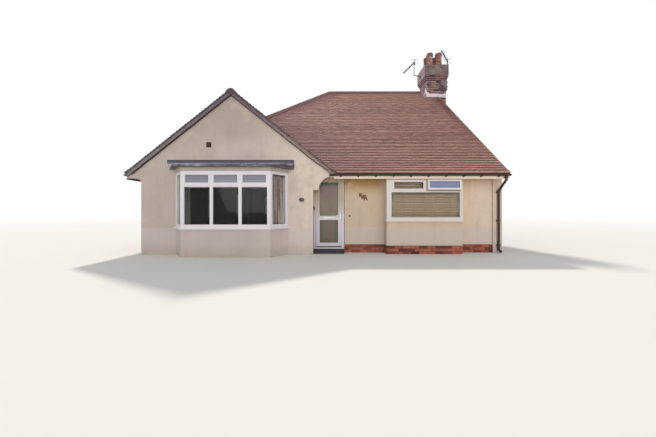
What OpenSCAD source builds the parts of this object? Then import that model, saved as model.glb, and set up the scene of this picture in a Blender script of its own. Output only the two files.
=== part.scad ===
// Left half of a pair of 1930s bungalows: rendered cavity walls, a front wing with a gable
// and a canted bay, a hipped plain tile roof and the shared chimney on the party line.
// X runs along the front to the right, Y into the house, Z up. The origin is at ground level
// in the middle of the main block.

/* [Main block] */
// Width from the outer left wall face to the party line
house_w = 10100; // [9600:10:11000]
// Depth over the outer faces of the front and rear walls
house_d = 10360; // [9800:10:11000]
// Thickness of the rendered cavity walls
wall_t = 280; // [220:5:320]
// Thickness of this house's share of the party wall
party_t = 225; // [200:5:260]
// Height of the floor above the ground
floor_t = 140; // [130:5:146]
// Height of the ceiling above the ground
ceiling_z = 2480; // [2460:5:2500]
// Thickness of the ceiling with its joists
ceiling_t = 100; // [60:5:110]
// Width of the flat pier on the party line
pier_w = 260; // [220:5:300]
// Reach of the pier in front of the wall
pier_t = 45; // [30:1:60]

/* [Roof] */
// Pitch of every roof slope in degrees
pitch = 38.5; // [37:0.1:40]
// Height of the tiles over the fascia line
eave_z = 2260; // [2255:1:2280]
// Reach of the eaves in front of the main walls
eaves_over = 390; // [370:5:420]
// Depth of tiles, battens and rafters, square to the slope
roof_t = 100; // [90:1:102]
// Depth of the tile layer alone, square to the slope
tile_t = 35; // [30:1:40]
// Length of each tile course that shows
gauge = 100; // [95:1:120]
// Height of a tile butt over the course below
butt = 16; // [10:1:20]
// Reach of the lowest tiles past the fascia
tile_over = 40; // [30:1:45]
// Reach of the gable tiles past the gable wall
verge_over = 50; // [40:1:70]
// Depth of the bedded verge below the tile surface
verge_depth = 120; // [112:1:150]
// Length of a ridge tile
ridge_l = 450; // [300:5:500]
// Outer radius of a ridge tile
ridge_r = 125; // [110:1:140]
// Height of a ridge tile's crown over the meeting line of the main slopes
ridge_rise = 55; // [35:1:60]
// Height of a ridge tile's crown over the meeting line of the wing slopes
wing_ridge_rise = 24; // [20:1:50]

/* [Eaves] */
// Thickness of the fascia boards
fascia_t = 25; // [18:1:30]
// Height of the underside of the fascia boards
fascia_z = 2080; // [2050:5:2100]
// Height of the underside of the soffit boards
soffit_z = 2140; // [2135:1:2145]
// Thickness of the soffit boards
soffit_t = 9; // [6:1:10]
// Height of the gutter rim
gutter_z = 2200; // [2190:1:2200]
// Outer radius of the half-round gutters
gutter_r = 50; // [45:1:56]
// Wall of the gutters
gutter_t = 3; // [2:1:4]
// Lap of the front gutter over the foot of the gable
gutter_lap = 10; // [5:1:20]
// Spacing of the gutter brackets
bracket_step = 480; // [400:10:900]
// Width of a gutter bracket's strap
strap_w = 25; // [20:1:40]
// Thickness of a gutter bracket's strap
strap_t = 4; // [2:0.5:5]
// Outer diameter of the downpipes
downpipe_d = 68; // [60:1:70]
// Thickness of the downpipes' sockets and elbows round the pipe
elbow_t = 4; // [3:0.5:6]
// Gap between a downpipe and the wall
pipe_gap = 12; // [8:1:20]
// Fall of the swan neck at the top of a downpipe
neck_fall = 280; // [250:10:320]
// Height of the shoe at the foot of a downpipe
shoe_z = 90; // [70:5:150]

/* [Front wing] */
// Width of the wing over its walls
wing_w = 4710; // [4500:10:4800]
// Reach of the wing roof past the wing's right wall
wing_over = 600; // [560:5:640]
// Reach of the boxed foot of the gable past the wing's right wall
foot_over = 460; // [430:5:500]
// Height of the underside of the boxed foot on the left
kneeler_z = 2070; // [2050:5:2090]
// Width of the corbel beside the door
corbel_w = 150; // [120:5:180]
// Height at which the quarter arch over the door springs
spring_z = 1770; // [1740:5:1790]
// Side of the square air vent in the gable
vent_w = 145; // [120:5:160]
// Height of the middle of the air vent
vent_z = 3010; // [2900:10:3100]
// Place of the air vent left of the wing ridge
vent_x = 610; // [500:10:700]

/* [Canted bay] */
// Width of the bay at the gable wall
bay_w = 3070; // [2900:10:3200]
// Width of the front face of the bay
bay_front_w = 2300; // [2200:10:2350]
// Reach of the bay in front of the gable wall
bay_proj = 500; // [420:10:560]
// Place of the middle of the bay right of the wing ridge
bay_x = 25; // [-50:5:50]
// Height of the window sill in the bay
bay_sill_z = 720; // [680:10:800]
// Height of the top of the bay window
bay_top_z = 2230; // [2200:5:2240]
// Height of the underside of the transom in the bay window
bay_transom_z = 1820; // [1790:5:1850]
// Thickness of the low bay wall
bay_wall_t = 215; // [150:5:260]
// Depth of the window frames
frame_d = 70; // [60:1:80]
// Height of the sill board of the bay window
bay_sill_h = 45; // [35:1:60]
// Reach of the sill board past the bay wall
bay_sill_over = 40; // [25:1:50]
// Width of the bay's corner posts on each face
bay_post = 75; // [65:1:90]
// Width of the other members of the bay window
bay_member = 70; // [60:1:80]
// Width of the members of an opening sash
sash_w = 42; // [35:1:50]
// Lap of an opening sash over its frame
sash_lap = 12; // [8:1:16]
// Distance that an opening sash stands proud
sash_proud = 14; // [10:1:20]
// Thickness of the double glazing
glass_t = 24; // [20:1:28]
// Height of the band over the bay window
bay_head_h = 100; // [85:1:115]
// Depth of the edge of the bay roof
bay_roof_h = 60; // [50:1:80]
// Reach of the bay roof past the bay window
bay_over = 140; // [120:5:160]
// Rise of the bay roof back to the wall
bay_rise = 90; // [70:1:110]
// Height of the lead strip on the wall over the bay roof
strip_h = 110; // [90:5:140]

/* [Front door] */
// Width of the door frame
door_w = 870; // [840:5:900]
// Width of a door frame member
door_jamb = 52; // [48:1:60]
// Height of the underside of the door frame
door_z = 105; // [95:1:110]
// Height of the threshold
threshold_h = 42; // [35:1:45]
// Thickness of the door leaf
leaf_t = 44; // [40:1:50]
// Running gap round the door leaf
leaf_gap = 5; // [5:0.5:7]
// Overlap of the door stop over the leaf
stop_w = 14; // [12:1:20]
// Width of the door leaf's stiles
stile_w = 105; // [95:1:115]
// Height of the door leaf's bottom rail
bottom_rail_h = 113; // [100:1:160]
// Height of the underside of the door leaf's middle rail
mid_rail_z = 938; // [900:1:980]
// Height of the door leaf's middle rail
mid_rail_h = 109; // [90:1:130]
// Height of the door leaf's top rail
top_rail_h = 61; // [55:1:110]
// Height of a door hinge
hinge_h = 100; // [80:5:120]
// Radius of the hinge knuckles
hinge_r = 7; // [6:0.5:8]
// Distance from the ends of the door leaf to its outer hinges
hinge_inset = 175; // [150:5:220]
// Gap between the knuckles of a hinge
knuckle_gap = 0.3; // [0.3:0.1:0.5]
// Height of the door handle's plate
handle_h = 220; // [180:5:240]
// Height of the middle of the door handle's plate
handle_z = 1030; // [990:5:1060]
// Depth of the step in front of the door
step_d = 260; // [200:10:300]
// Height of the step
step_h = 86; // [70:1:95]

/* [Box window] */
// Distance from the door frame to the box window
box_x = 1166; // [1100:1:1250]
// Width of the wall between the box window and the pier
box_right = 991; // [900:1:1100]
// Width of a frame member of the box window
box_member = 65; // [55:1:75]
// Place of the box window's mullion right of the window's middle
box_mullion_x = 52; // [0:1:100]
// Reach of the box window in front of the main wall
box_proj = 310; // [250:5:330]
// Height of the wall below the box window
box_sill_z = 900; // [850:5:930]
// Height of the sill of the box window
box_sill_h = 60; // [40:1:70]
// Height of the middle of the transom in the box window
box_transom_z = 1750; // [1700:5:1780]
// Opening angle of the top vent that stands ajar
vent_angle = 7; // [3:0.5:10]
// Lap of that vent over its opening
vent_lap = 15; // [10:1:20]
// Width of that vent's members
vent_member = 50; // [40:1:60]
// Depth of that vent's members
vent_t = 50; // [40:1:60]

/* [Chimney] */
// Side of the square chimney shaft
stack_w = 890; // [800:5:960]
// Height of the underside of the chimney head's courses
stack_head_z = 7060; // [7020:5:7100]
// Reach of the chimney head past the shaft on each side
head_over = 90; // [75:1:105]
// Height of one oversailing course
course_h = 75; // [65:1:80]
// Number of oversailing courses
head_courses = 3; // [2:1:4]
// Height of the top of the chimney head
head_top_z = 7740; // [7640:5:7840]
// Height of the mortar bed round the pots
bed_h = 60; // [50:1:80]
// Height of a chimney pot over the head
pot_h = 640; // [540:5:680]
// Diameter of a chimney pot
pot_d = 290; // [260:5:310]
// Spacing of the chimney pots
pot_step = 400; // [370:5:440]
// Thickness of a chimney pot's wall
pot_t = 28; // [20:1:35]
// Thickness of the lead round the chimney
lead_t = 6; // [4:1:8]
// Reach of the lead apron on the tiles
lead_apron = 110; // [90:5:180]
// Height of the lead collar on the shaft
lead_upstand = 110; // [90:5:180]
// Height of the aerial arms below the top of the chimney head
arm_drop = 260; // [200:5:320]
// Reach of the left aerial's arm
left_arm = 290; // [200:5:340]
// Reach of the right aerial's arm
right_arm = 100; // [80:5:200]
// Rise of the left aerial's cranked arm
arm_rise = 60; // [0:5:100]
// Diameter of the aerial masts
mast_d = 32; // [25:1:40]
// Height of an aerial mast over its arm
mast_h = 640; // [500:10:700]
// Length of an aerial's boom
boom_l = 1160; // [1000:10:1200]
// Number of elements on a boom
boom_elements = 12; // [8:1:13]
// Length of the elements
element_l = 180; // [120:5:240]
// Diameter of the elements and of the reflector's rods
element_d = 10; // [6:1:12]
// Length of the reflector's rods
reflector_l = 340; // [260:5:400]
// Height of the reflector over its rods
reflector_h = 260; // [180:5:320]

/* [Rear and side windows] */
// Width of the large windows
window_w = 1050; // [950:10:1100]
// Width of the bathroom window
bath_w = 600; // [500:10:700]
// Height of the window sills
window_sill_z = 950; // [900:10:1050]
// Height of the window and back door heads
window_top_z = 2050; // [2000:10:2080]
// Width of a window frame member
frame_w = 60; // [50:1:70]
// Depth of the window reveals
reveal = 60; // [40:5:90]
// Height of the fanlights with their frame
fanlight_h = 330; // [280:10:360]
// Distance from the rear corners to the middle of the outer windows
rear_window_x = 1650; // [1400:10:1800]
// Distance from the rear left corner to the middle of the kitchen window
kitchen_x = 3850; // [3600:10:4000]
// Distance from the party line to the middle of the back door
back_door_x = 3450; // [3300:10:3600]
// Distance from the rear face to the middle of the large side window
side_window_y = 2780; // [2400:10:3000]
// Distance from the rear face to the middle of the bathroom window
bath_y = 6680; // [6200:10:6900]
// Width of the back door
back_door_w = 880; // [820:10:950]
// Width of the back door's frame and stile together
back_stile_w = 130; // [110:5:150]
// Height of the back door's frame and top rail together
back_top_h = 140; // [120:5:160]
// Height of the back door's bottom rail over the floor
back_bottom_h = 210; // [150:5:250]
// Height of the underside of the back door's middle rail
back_mid_z = 1050; // [1000:5:1100]
// Height of the back door's middle rail
back_mid_h = 100; // [80:5:130]
// Depth of the back door's panels
back_panel_d = 15; // [8:1:25]

/* [Small fittings] */
// Distance from the wing's right wall to the wall plaque
plaque_x = 316; // [250:1:400]
// Height of the middle of the wall plaque
plaque_z = 1500; // [1450:5:1550]
// Width of the wall plaque
plaque_w = 150; // [130:1:170]
// Height of the wall plaque
plaque_h = 110; // [90:1:120]
// Distance from the door frame to the wall ornament
ornament_x = 560; // [500:5:620]
// Height of the middle of the wall ornament
ornament_z = 1590; // [1550:5:1650]
// Length of the wall ornament, a leafy sprig, along its stem
ornament_l = 330; // [280:5:360]
// Slope of the ornament's stem, down to the right
ornament_turn = 36; // [25:1:50]
// Length of the ornament's leaves
leaf_l = 90; // [70:1:110]
// Width of the ornament's leaves
leaf_w = 34; // [26:1:42]
// Distance from the door frame to the doorbell
bell_x = 160; // [120:5:220]
// Height of the doorbell
bell_z = 1050; // [1000:5:1150]
// Diameter of the doorbell
bell_d = 60; // [50:1:80]

/* [Hidden] */

$fn = 48;
far = 20000;
// Clearance of walls and mortar under the roof slopes
seat = 0.05;

// House lines
x_wall = -house_w / 2;
x_party = house_w / 2;
y_wall = house_d / 2;
x_eave = x_wall - eaves_over;
y_eave = y_wall + eaves_over;
x_in = x_wall + wall_t;
x_party_in = x_party - party_t;
y_in = y_wall - wall_t;
x_return = x_wall + wing_w;
x_wing_eave = x_return + wing_over;
x_wing_ridge = (x_eave + x_wing_eave) / 2;
wing_run = x_wing_eave - x_wing_ridge;
y_valley = wing_run - y_eave;
x_ridge = x_eave + y_eave;

// Slope lines
roof_v = roof_t / cos(pitch);
tile_v = tile_t / cos(pitch);
butt_v = butt / cos(pitch);
function tile_z(u) = eave_z + u * tan(pitch);

// Door and box window lines
x_door = x_return + door_w;
x_box = x_door + box_x;
x_box_end = x_party - pier_w - box_right;
y_box = -y_wall - box_proj;
box_mid = (x_box + x_box_end) / 2 + box_mullion_x;
box_glass_z = box_sill_z + box_sill_h + 50;
// The openings in the face of the box window: left, right, bottom, top
box_lights = [
    [x_box + box_member, x_box_end - box_member, box_glass_z, box_transom_z - frame_d / 2],
    [x_box + box_member, box_mid - frame_d / 2, box_transom_z + frame_d / 2, soffit_z - 100]
];
box_vent = [box_mid + frame_d / 2, x_box_end - box_member, box_transom_z + frame_d / 2,
            soffit_z - 100];
box_vent_w = box_vent[1] - box_vent[0] + 2 * vent_lap;
box_vent_h = box_vent[3] - box_vent[2] + 2 * vent_lap;

// Door leaf lines
stop_t = 25;
leaf_x0 = x_return + door_jamb + leaf_gap;
leaf_x1 = x_door - door_jamb - leaf_gap;
leaf_y0 = stop_t + leaf_gap - y_wall;
leaf_y1 = leaf_y0 + leaf_t;
leaf_z0 = door_z + threshold_h + leaf_gap + 3;
leaf_z1 = soffit_z - door_jamb - leaf_gap;
// The panes of the door: bottom and top
door_panes = [[leaf_z0 + bottom_rail_h, mid_rail_z],
              [mid_rail_z + mid_rail_h, leaf_z1 - top_rail_h]];
hinge_heights = [leaf_z0 + hinge_inset, (leaf_z0 + leaf_z1 - hinge_h) / 2,
                 leaf_z1 - hinge_inset - hinge_h];
hinge_x = leaf_x0 - leaf_gap / 2;
hinge_y = leaf_y1 + hinge_r;

// Bay lines
x_bay = x_wing_ridge + bay_x;
bay_angle = atan2(bay_proj, (bay_w - bay_front_w) / 2);
bay_side_l = norm([bay_proj, (bay_w - bay_front_w) / 2]);
bay_room_w = bay_w - 2 * bay_wall_t / sin(bay_angle);
bay_glass_z = bay_sill_z + bay_sill_h + bay_member;
bay_light_w = (bay_front_w - 2 * bay_post - 2 * bay_member) / 3;
function bay_light_x(i) = bay_post + i * (bay_light_w + bay_member);
// The lights of the bay: face, left end, right end, bottom, top, and 1 for an opening sash
bay_lights = concat(
    [for (i = [0 : 2])
        [1, bay_light_x(i), bay_light_x(i) + bay_light_w, bay_glass_z, bay_transom_z, 0]],
    [for (i = [0 : 2])
        [1, bay_light_x(i), bay_light_x(i) + bay_light_w,
         bay_transom_z + bay_member, bay_top_z - bay_member, 1]],
    [for (f = [0, 2])
        [f, f == 0 ? bay_member : bay_post, bay_side_l - (f == 0 ? bay_post : bay_member),
         bay_glass_z, bay_top_z - bay_member, 0]]
);

// Rear and side openings
x_back_door = x_party - back_door_x;
rear_windows = [x_wall + rear_window_x, x_wall + kitchen_x, x_party - rear_window_x];
side_windows = [[y_wall - bath_y, bath_w], [y_wall - side_window_y, window_w]];
transom_z = window_top_z - fanlight_h;

// Chimney lines
x_stack = x_party - party_t / 2;
stack_r = stack_w / 2;
head_r = stack_r + head_over;

// Colours
render_c = [0.78, 0.73, 0.67];
cream_c = [0.88, 0.83, 0.73];
tile_c = [0.56, 0.4, 0.37];
ridge_c = [0.42, 0.37, 0.36];
white_c = [0.93, 0.93, 0.92];
black_c = [0.12, 0.12, 0.13];
lead_c = [0.33, 0.34, 0.38];
brick_c = [0.48, 0.4, 0.36];
pot_c = [0.68, 0.4, 0.3];
glass_c = [0.6, 0.7, 0.75, 0.5];
steel_c = [0.6, 0.6, 0.6];

// Box between two corners
module span(a, b) {
    translate(a)
        cube([b[0] - a[0], b[1] - a[1], b[2] - a[2]]);
}

// Outline in X and Z, run along Y from y0 to y1
module along_y(y0, y1) {
    translate([0, y1, 0])
        rotate([90, 0, 0])
            linear_extrude(y1 - y0)
                children();
}

// Outline in Y and Z, run along X from x0 to x1
module along_x(x0, x1) {
    translate([x0, 0, 0])
        rotate([90, 0, 90])
            linear_extrude(x1 - x0)
                children();
}

// Space under the main roof, lowered by drop and carried on by reach past the fascia line
module main_space(drop, reach) {
    x_end = x_party + head_r;
    foot_z = tile_z(-reach) - drop;
    intersection() {
        along_x(x_eave - reach, x_end)
            polygon([[-y_eave - reach, 0], [y_eave + reach, 0], [y_eave + reach, foot_z],
                     [0, tile_z(y_eave) - drop], [-y_eave - reach, foot_z]]);
        along_y(-y_eave - reach, y_eave + reach)
            polygon([[x_eave - reach, 0], [x_end, 0],
                     [x_end, tile_z(x_end - x_eave) - drop], [x_eave - reach, foot_z]]);
    }
}

// Section of the space under the wing roof
module wing_outline(drop, reach) {
    foot_z = tile_z(-reach) - drop;
    polygon([[x_eave - reach, 0], [x_wing_eave + reach, 0], [x_wing_eave + reach, foot_z],
             [x_wing_ridge, tile_z(wing_run) - drop], [x_eave - reach, foot_z]]);
}

module under_roof() {
    main_space(roof_v + seat, 0);
    along_y(-y_eave, y_valley)
        wing_outline(roof_v + seat, 0);
}

// Space under both roofs up to the tips of the tile butts
module under_tiles() {
    main_space(-butt_v, tile_over);
    along_y(-y_eave - verge_over, 0)
        wing_outline(-butt_v, tile_over);
}

// Walls
// Plan of the rooms: the main block and the front of the wing
module room_plan() {
    polygon([[x_in, wall_t - y_eave], [x_return - wall_t, wall_t - y_eave],
             [x_return - wall_t, -y_in], [x_party_in, -y_in],
             [x_party_in, y_in], [x_in, y_in]]);
}

module floor_slab() {
    color(brick_c)
        difference() {
            linear_extrude(floor_t)
                union() {
                    room_plan();
                    translate([x_bay, -y_eave])
                        polygon(bay_plan(-bay_wall_t, 0));
                    translate([x_bay - bay_room_w / 2, -y_eave])
                        square([bay_room_w, wall_t]);
                }
            chimney_column(-1, floor_t + 1);
        }
}

module ceiling() {
    color(white_c)
        difference() {
            translate([0, 0, ceiling_z])
                linear_extrude(ceiling_t)
                    room_plan();
            chimney_column(ceiling_z - 1, ceiling_z + ceiling_t + 1);
        }
}

// The gable with its boxed feet: a plain one on the left, a quarter arch over the door
module gable_outline() {
    cove = eaves_over / 4;
    arch_r = soffit_z - spring_z;
    x_corbel = x_return + corbel_w;
    intersection() {
        wing_outline(roof_v + seat, 0);
        difference() {
            union() {
                translate([x_wall, 0])
                    square([wing_w, far]);
                translate([x_eave, kneeler_z])
                    square([eaves_over, far]);
                difference() {
                    translate([x_wall - cove, kneeler_z - cove])
                        square(cove);
                    translate([x_wall - cove, kneeler_z - cove])
                        circle(cove);
                }
                difference() {
                    translate([x_return, spring_z])
                        square([foot_over, far]);
                    translate([x_corbel + arch_r, spring_z])
                        circle(arch_r);
                    translate([x_corbel + arch_r, spring_z - far])
                        square([far, far + arch_r]);
                }
            }
            translate([x_bay - bay_room_w / 2, 0])
                square([bay_room_w, bay_top_z]);
            translate([x_wing_ridge - vent_x - vent_w / 2, vent_z - vent_w / 2])
                square(vent_w);
        }
    }
}

module gable_wall() {
    color(render_c)
        along_y(-y_eave, wall_t - y_eave)
            gable_outline();
}

module wing_return_wall() {
    color(render_c)
        intersection() {
            span([x_return - wall_t, wall_t - y_eave, 0], [x_return, -y_in, far]);
            under_roof();
        }
}

module front_wall_middle() {
    color(render_c)
        span([x_door, -y_wall, 0], [x_box + frame_d, -y_in, soffit_z]);
}

// The wall beyond the box window ends in a flat pier on the party line
module front_wall_right() {
    color(render_c)
        union() {
            span([x_box_end - frame_d, -y_wall, 0], [x_party, -y_in, soffit_z]);
            span([x_party - pier_w, -y_wall - pier_t, 0], [x_party, -y_wall, soffit_z]);
        }
}

module front_wall_top() {
    color(render_c)
        intersection() {
            span([x_return, -y_wall, soffit_z], [x_party, -y_in, far]);
            under_roof();
        }
}

module left_side_wall() {
    color(render_c)
        difference() {
            along_y(wall_t - y_eave, y_in)
                intersection() {
                    wing_outline(roof_v + seat, 0);
                    translate([x_wall, 0])
                        square([wall_t, far]);
                }
            for (w = side_windows)
                span([x_wall - 1, w[0] - w[1] / 2, window_sill_z],
                     [x_in + 1, w[0] + w[1] / 2, window_top_z]);
        }
}

module rear_wall() {
    color(render_c)
        difference() {
            intersection() {
                span([x_wall, y_in, 0], [x_party, y_wall, far]);
                under_roof();
            }
            for (x = rear_windows)
                span([x - window_w / 2, y_in - 1, window_sill_z],
                     [x + window_w / 2, y_wall + 1, window_top_z]);
            span([x_back_door - back_door_w / 2, y_in - 1, floor_t],
                 [x_back_door + back_door_w / 2, y_wall + 1, window_top_z]);
        }
}

module party_wall() {
    color(render_c)
        difference() {
            intersection() {
                span([x_party_in, -y_in, 0], [x_party, y_in, far]);
                under_roof();
            }
            chimney_column(-1, far);
        }
}

// Chimney
module chimney_column(z0, z1) {
    span([x_stack - stack_r, -stack_r, z0], [x_stack + stack_r, stack_r, z1]);
}

module chimney_breast() {
    color(render_c)
        chimney_column(0, ceiling_z + ceiling_t);
}

module chimney_shaft() {
    color(brick_c)
        chimney_column(ceiling_z + ceiling_t, stack_head_z);
}

module chimney_head() {
    color(brick_c)
        union() {
            for (i = [1 : head_courses]) {
                r = stack_r + head_over * i / head_courses;
                translate([x_stack - r, -r, stack_head_z + course_h * (i - 1)])
                    cube([2 * r, 2 * r, i < head_courses ? course_h
                          : head_top_z - stack_head_z - course_h * (i - 1)]);
            }
            mortar_bed();
        }
}

// Mortar weathered off to the edges of the head, so that it takes the pots' feet
module mortar_bed() {
    bed_r = pot_step / 2 + pot_d / 2 + 15;
    translate([x_stack, 0, head_top_z])
        linear_extrude(bed_h)
            square(2 * bed_r, center = true);
}

module chimney_pots() {
    pot_r = pot_d / 2;
    bore_r = pot_r - pot_t;
    body_h = pot_h - bed_h;
    color(pot_c)
        for (sx = [-1, 1], sy = [-1, 1])
            translate([x_stack + sx * pot_step / 2, sy * pot_step / 2, head_top_z + bed_h])
                rotate_extrude()
                    polygon([[bore_r, 0], [pot_r, 0], [pot_r - 6, body_h * 0.8],
                             [pot_r + 4, body_h * 0.84], [pot_r + 4, body_h * 0.92],
                             [pot_r - 8, body_h], [bore_r, body_h]]);
}

// Lead collar on the shaft and lead apron on the tiles round it
module chimney_flashing() {
    lift = butt_v;
    color(lead_c)
        intersection() {
            difference() {
                union() {
                    difference() {
                        linear_extrude(far)
                            translate([x_stack - stack_r - lead_t, -stack_r - lead_t])
                                square([stack_r + lead_t + x_party - x_stack,
                                        2 * (stack_r + lead_t)]);
                        along_x(-far, far)
                            roof_band(lift + lead_upstand);
                    }
                    difference() {
                        linear_extrude(far)
                            translate([x_stack - stack_r - lead_apron, -stack_r - lead_apron])
                                square([stack_r + lead_apron + x_party - x_stack,
                                        2 * (stack_r + lead_apron)]);
                        along_x(-far, far)
                            roof_band(lift + lead_t / cos(pitch));
                    }
                }
                chimney_column(0, far);
                along_x(-far, far)
                    roof_under(lift);
            }
            span([-far, -far, 0], [x_party, far, far]);
        }
}

// Everything above, or below, the main slopes raised by lift, in Y and Z
module roof_band(lift) {
    polygon([[-y_eave, eave_z + lift], [0, tile_z(y_eave) + lift], [y_eave, eave_z + lift],
             [y_eave, far], [-y_eave, far]]);
}

module roof_under(lift) {
    polygon([[-y_eave, eave_z + lift], [0, tile_z(y_eave) + lift], [y_eave, eave_z + lift],
             [y_eave, 0], [-y_eave, 0]]);
}

// Roof slopes
// Section of a tiled slope over its run, from the eave inward: stepped courses on top,
// the tile layer past the fascia, the full depth behind it
function course_u(i) = i * gauge * cos(pitch) - tile_over;
function course_points(run) = [
    for (i = [0 : ceil((run + tile_over) / (gauge * cos(pitch)))])
        each [[course_u(i), tile_z(course_u(i))],
              [course_u(i) - butt * sin(pitch), tile_z(course_u(i)) + butt * cos(pitch)]]
];

module slope_section(run, depth_v) {
    tip = [tile_t * sin(pitch) - tile_over, tile_z(-tile_over) - tile_t * cos(pitch)];
    polygon(concat(
        [[run, tile_z(run) - depth_v], [fascia_t, tile_z(fascia_t) - depth_v],
         [fascia_t, tile_z(fascia_t) - tile_v], tip],
        course_points(run),
        [[run + gauge, tile_z(run)]]));
}

// A slope seen from its eave, cut to its outline in plan
module front_facing_slope(run, depth_v) {
    translate([x_eave - tile_over, -y_eave, 0])
        rotate([90, 0, 90])
            linear_extrude(x_party - x_eave + 2 * tile_over)
                slope_section(run, depth_v);
}

module left_facing_slope(depth_v) {
    translate([x_eave, y_eave + tile_over, 0])
        rotate([90, 0, 0])
            linear_extrude(2 * y_eave + tile_over + verge_over)
                slope_section(y_eave, depth_v);
}

module roof_front_slope() {
    color(tile_c)
        difference() {
            intersection() {
                front_facing_slope(y_eave, roof_v);
                linear_extrude(far)
                    polygon([[x_wing_eave + tile_over, -y_eave - tile_over],
                             [x_party, -y_eave - tile_over], [x_party, 0], [x_ridge, 0],
                             [x_wing_ridge, y_valley]]);
            }
            chimney_column(0, far);
        }
}

module roof_rear_slope() {
    color(tile_c)
        difference() {
            intersection() {
                mirror([0, 1, 0])
                    front_facing_slope(y_eave, roof_v);
                linear_extrude(far)
                    polygon([[x_eave - tile_over, y_eave + tile_over], [x_ridge, 0],
                             [x_party, 0], [x_party, y_eave + tile_over]]);
            }
            chimney_column(0, far);
        }
}

module roof_hip_end() {
    color(tile_c)
        intersection() {
            left_facing_slope(roof_v);
            linear_extrude(far)
                polygon([[x_eave - tile_over, y_valley], [x_wing_ridge, y_valley],
                         [x_ridge, 0], [x_eave - tile_over, y_eave + tile_over]]);
        }
}

// A wing slope: the full depth behind the gable face, the tile layer alone past it
module wing_slope_part(y0, y1, depth_v) {
    intersection() {
        left_facing_slope(depth_v);
        span([x_eave - tile_over, y0, 0], [x_wing_ridge, y1, far]);
    }
}

module wing_left_slope() {
    color(tile_c)
        union() {
            wing_slope_part(-y_eave, y_valley, roof_v);
            wing_slope_part(-y_eave - verge_over, -y_eave, tile_v);
        }
}

module wing_right_slope() {
    color(tile_c)
        intersection() {
            translate([2 * x_wing_ridge, 0, 0])
                mirror([1, 0, 0])
                    wing_left_slope();
            linear_extrude(far)
                polygon([[x_wing_ridge, -y_eave - verge_over],
                         [x_wing_eave + tile_over, -y_eave - verge_over],
                         [x_wing_eave + tile_over, -y_eave - tile_over],
                         [x_wing_ridge, y_valley]]);
        }
}

// Half-round tiles laid in a row of length l from the origin along +Y, bedded down past the
// slopes; what is under the slopes is cut away by the caller
module ridge_row(l, rise) {
    count = ceil(l / ridge_l);
    pitch_l = l / count;
    joint = 8;
    for (i = [0 : count - 1])
        translate([0, i * pitch_l + pitch_l - joint / 2, rise - ridge_r])
            rotate([90, 0, 0])
                linear_extrude(pitch_l - joint)
                    union() {
                        circle(ridge_r);
                        translate([-ridge_r, -ridge_r])
                            square([2 * ridge_r, ridge_r]);
                    }
}

// Sector in plan round the end of the ridge, between two bearings
module ridge_sector(from, to) {
    translate([x_ridge, 0, 0])
        linear_extrude(far)
            polygon([[0, 0], far * [cos(from), sin(from)], far * [cos(to), sin(to)]]);
}

module ridge_tiles() {
    color(ridge_c)
        difference() {
            intersection() {
                translate([x_ridge, 0, tile_z(y_eave)])
                    rotate([0, 0, -90])
                        ridge_row(x_stack - stack_r - lead_apron - x_ridge, ridge_rise);
                ridge_sector(-67.5, 67.5);
            }
            under_tiles();
        }
}

// One hip runs from the rear left corner, the other from the wing roof, up to the ridge,
// where they meet it in a mitre
module hip_tiles() {
    tip = y_eave + tile_over;
    color(ridge_c)
        difference() {
            union() {
                intersection() {
                    hip_row(tip, 45);
                    ridge_sector(67.5, 180);
                    span([x_ridge - tip, 0, 0], [x_ridge, tip, far]);
                }
                intersection() {
                    hip_row(-y_valley, 135);
                    ridge_sector(180, 292.5);
                }
            }
            under_tiles();
        }
}

// Hip tiles from the ridge end down a plan distance of run, turned by bearing
module hip_row(run, bearing) {
    fall = atan(tan(pitch) / sqrt(2));
    translate([x_ridge, 0, tile_z(y_eave)])
        rotate([0, 0, bearing])
            rotate([-fall, 0, 0])
                ridge_row(run * sqrt(2) / cos(fall), ridge_rise);
}

module wing_ridge_tiles() {
    color(ridge_c)
        difference() {
            translate([x_wing_ridge, -y_eave - verge_over, tile_z(wing_run)])
                ridge_row(y_valley + y_eave + verge_over - ridge_r, wing_ridge_rise);
            under_tiles();
        }
}

// Mortar on an undercloak, between the gable tiles and the face of the gable wall
module gable_verge() {
    verge_v = verge_depth / cos(pitch);
    recess = 8;
    color(ridge_c)
        along_y(recess - y_eave - verge_over, -y_eave)
            difference() {
                wing_outline(tile_v + seat, 0);
                wing_outline(verge_v, 0);
                translate([x_eave - far + fascia_t, 0])
                    square([far, far]);
                translate([x_wing_eave - fascia_t, 0])
                    square([far, far]);
                translate([x_return + foot_over - gutter_lap - 2, 0])
                    square([far, gutter_z + 2]);
            }
}

// Eaves
// Fascia and soffit in section, from the fascia line inward
module eaves_section() {
    square_z = eave_z - tile_v;
    translate([0, fascia_z])
        square([fascia_t, square_z - fascia_z]);
    translate([0, soffit_z])
        square([eaves_over, soffit_t]);
}

module front_eaves() {
    x_foot = x_return + foot_over;
    x_fascia = x_wing_eave - fascia_t;
    color(cream_c)
        difference() {
            translate([x_return, -y_eave, 0])
                rotate([90, 0, 90])
                    linear_extrude(x_party - x_return)
                        eaves_section();
            span([x_return - 1, -y_eave - 1, 0], [x_foot, wall_t - y_eave, far]);
            span([x_foot - 1, -y_eave - 1, 0], [x_fascia, fascia_t - y_eave, soffit_z]);
            span([x_foot - 1, -y_eave - 1, soffit_z + soffit_t],
                 [x_fascia, fascia_t - y_eave, far]);
        }
}

module side_eaves() {
    color(cream_c)
        intersection() {
            translate([x_eave, y_eave, 0])
                rotate([90, 0, 0])
                    linear_extrude(2 * y_eave - wall_t)
                        eaves_section();
            linear_extrude(far)
                polygon([[x_eave, y_eave], [x_wall, y_wall], [x_wall, -y_eave],
                         [x_eave, -y_eave]]);
        }
}

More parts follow.
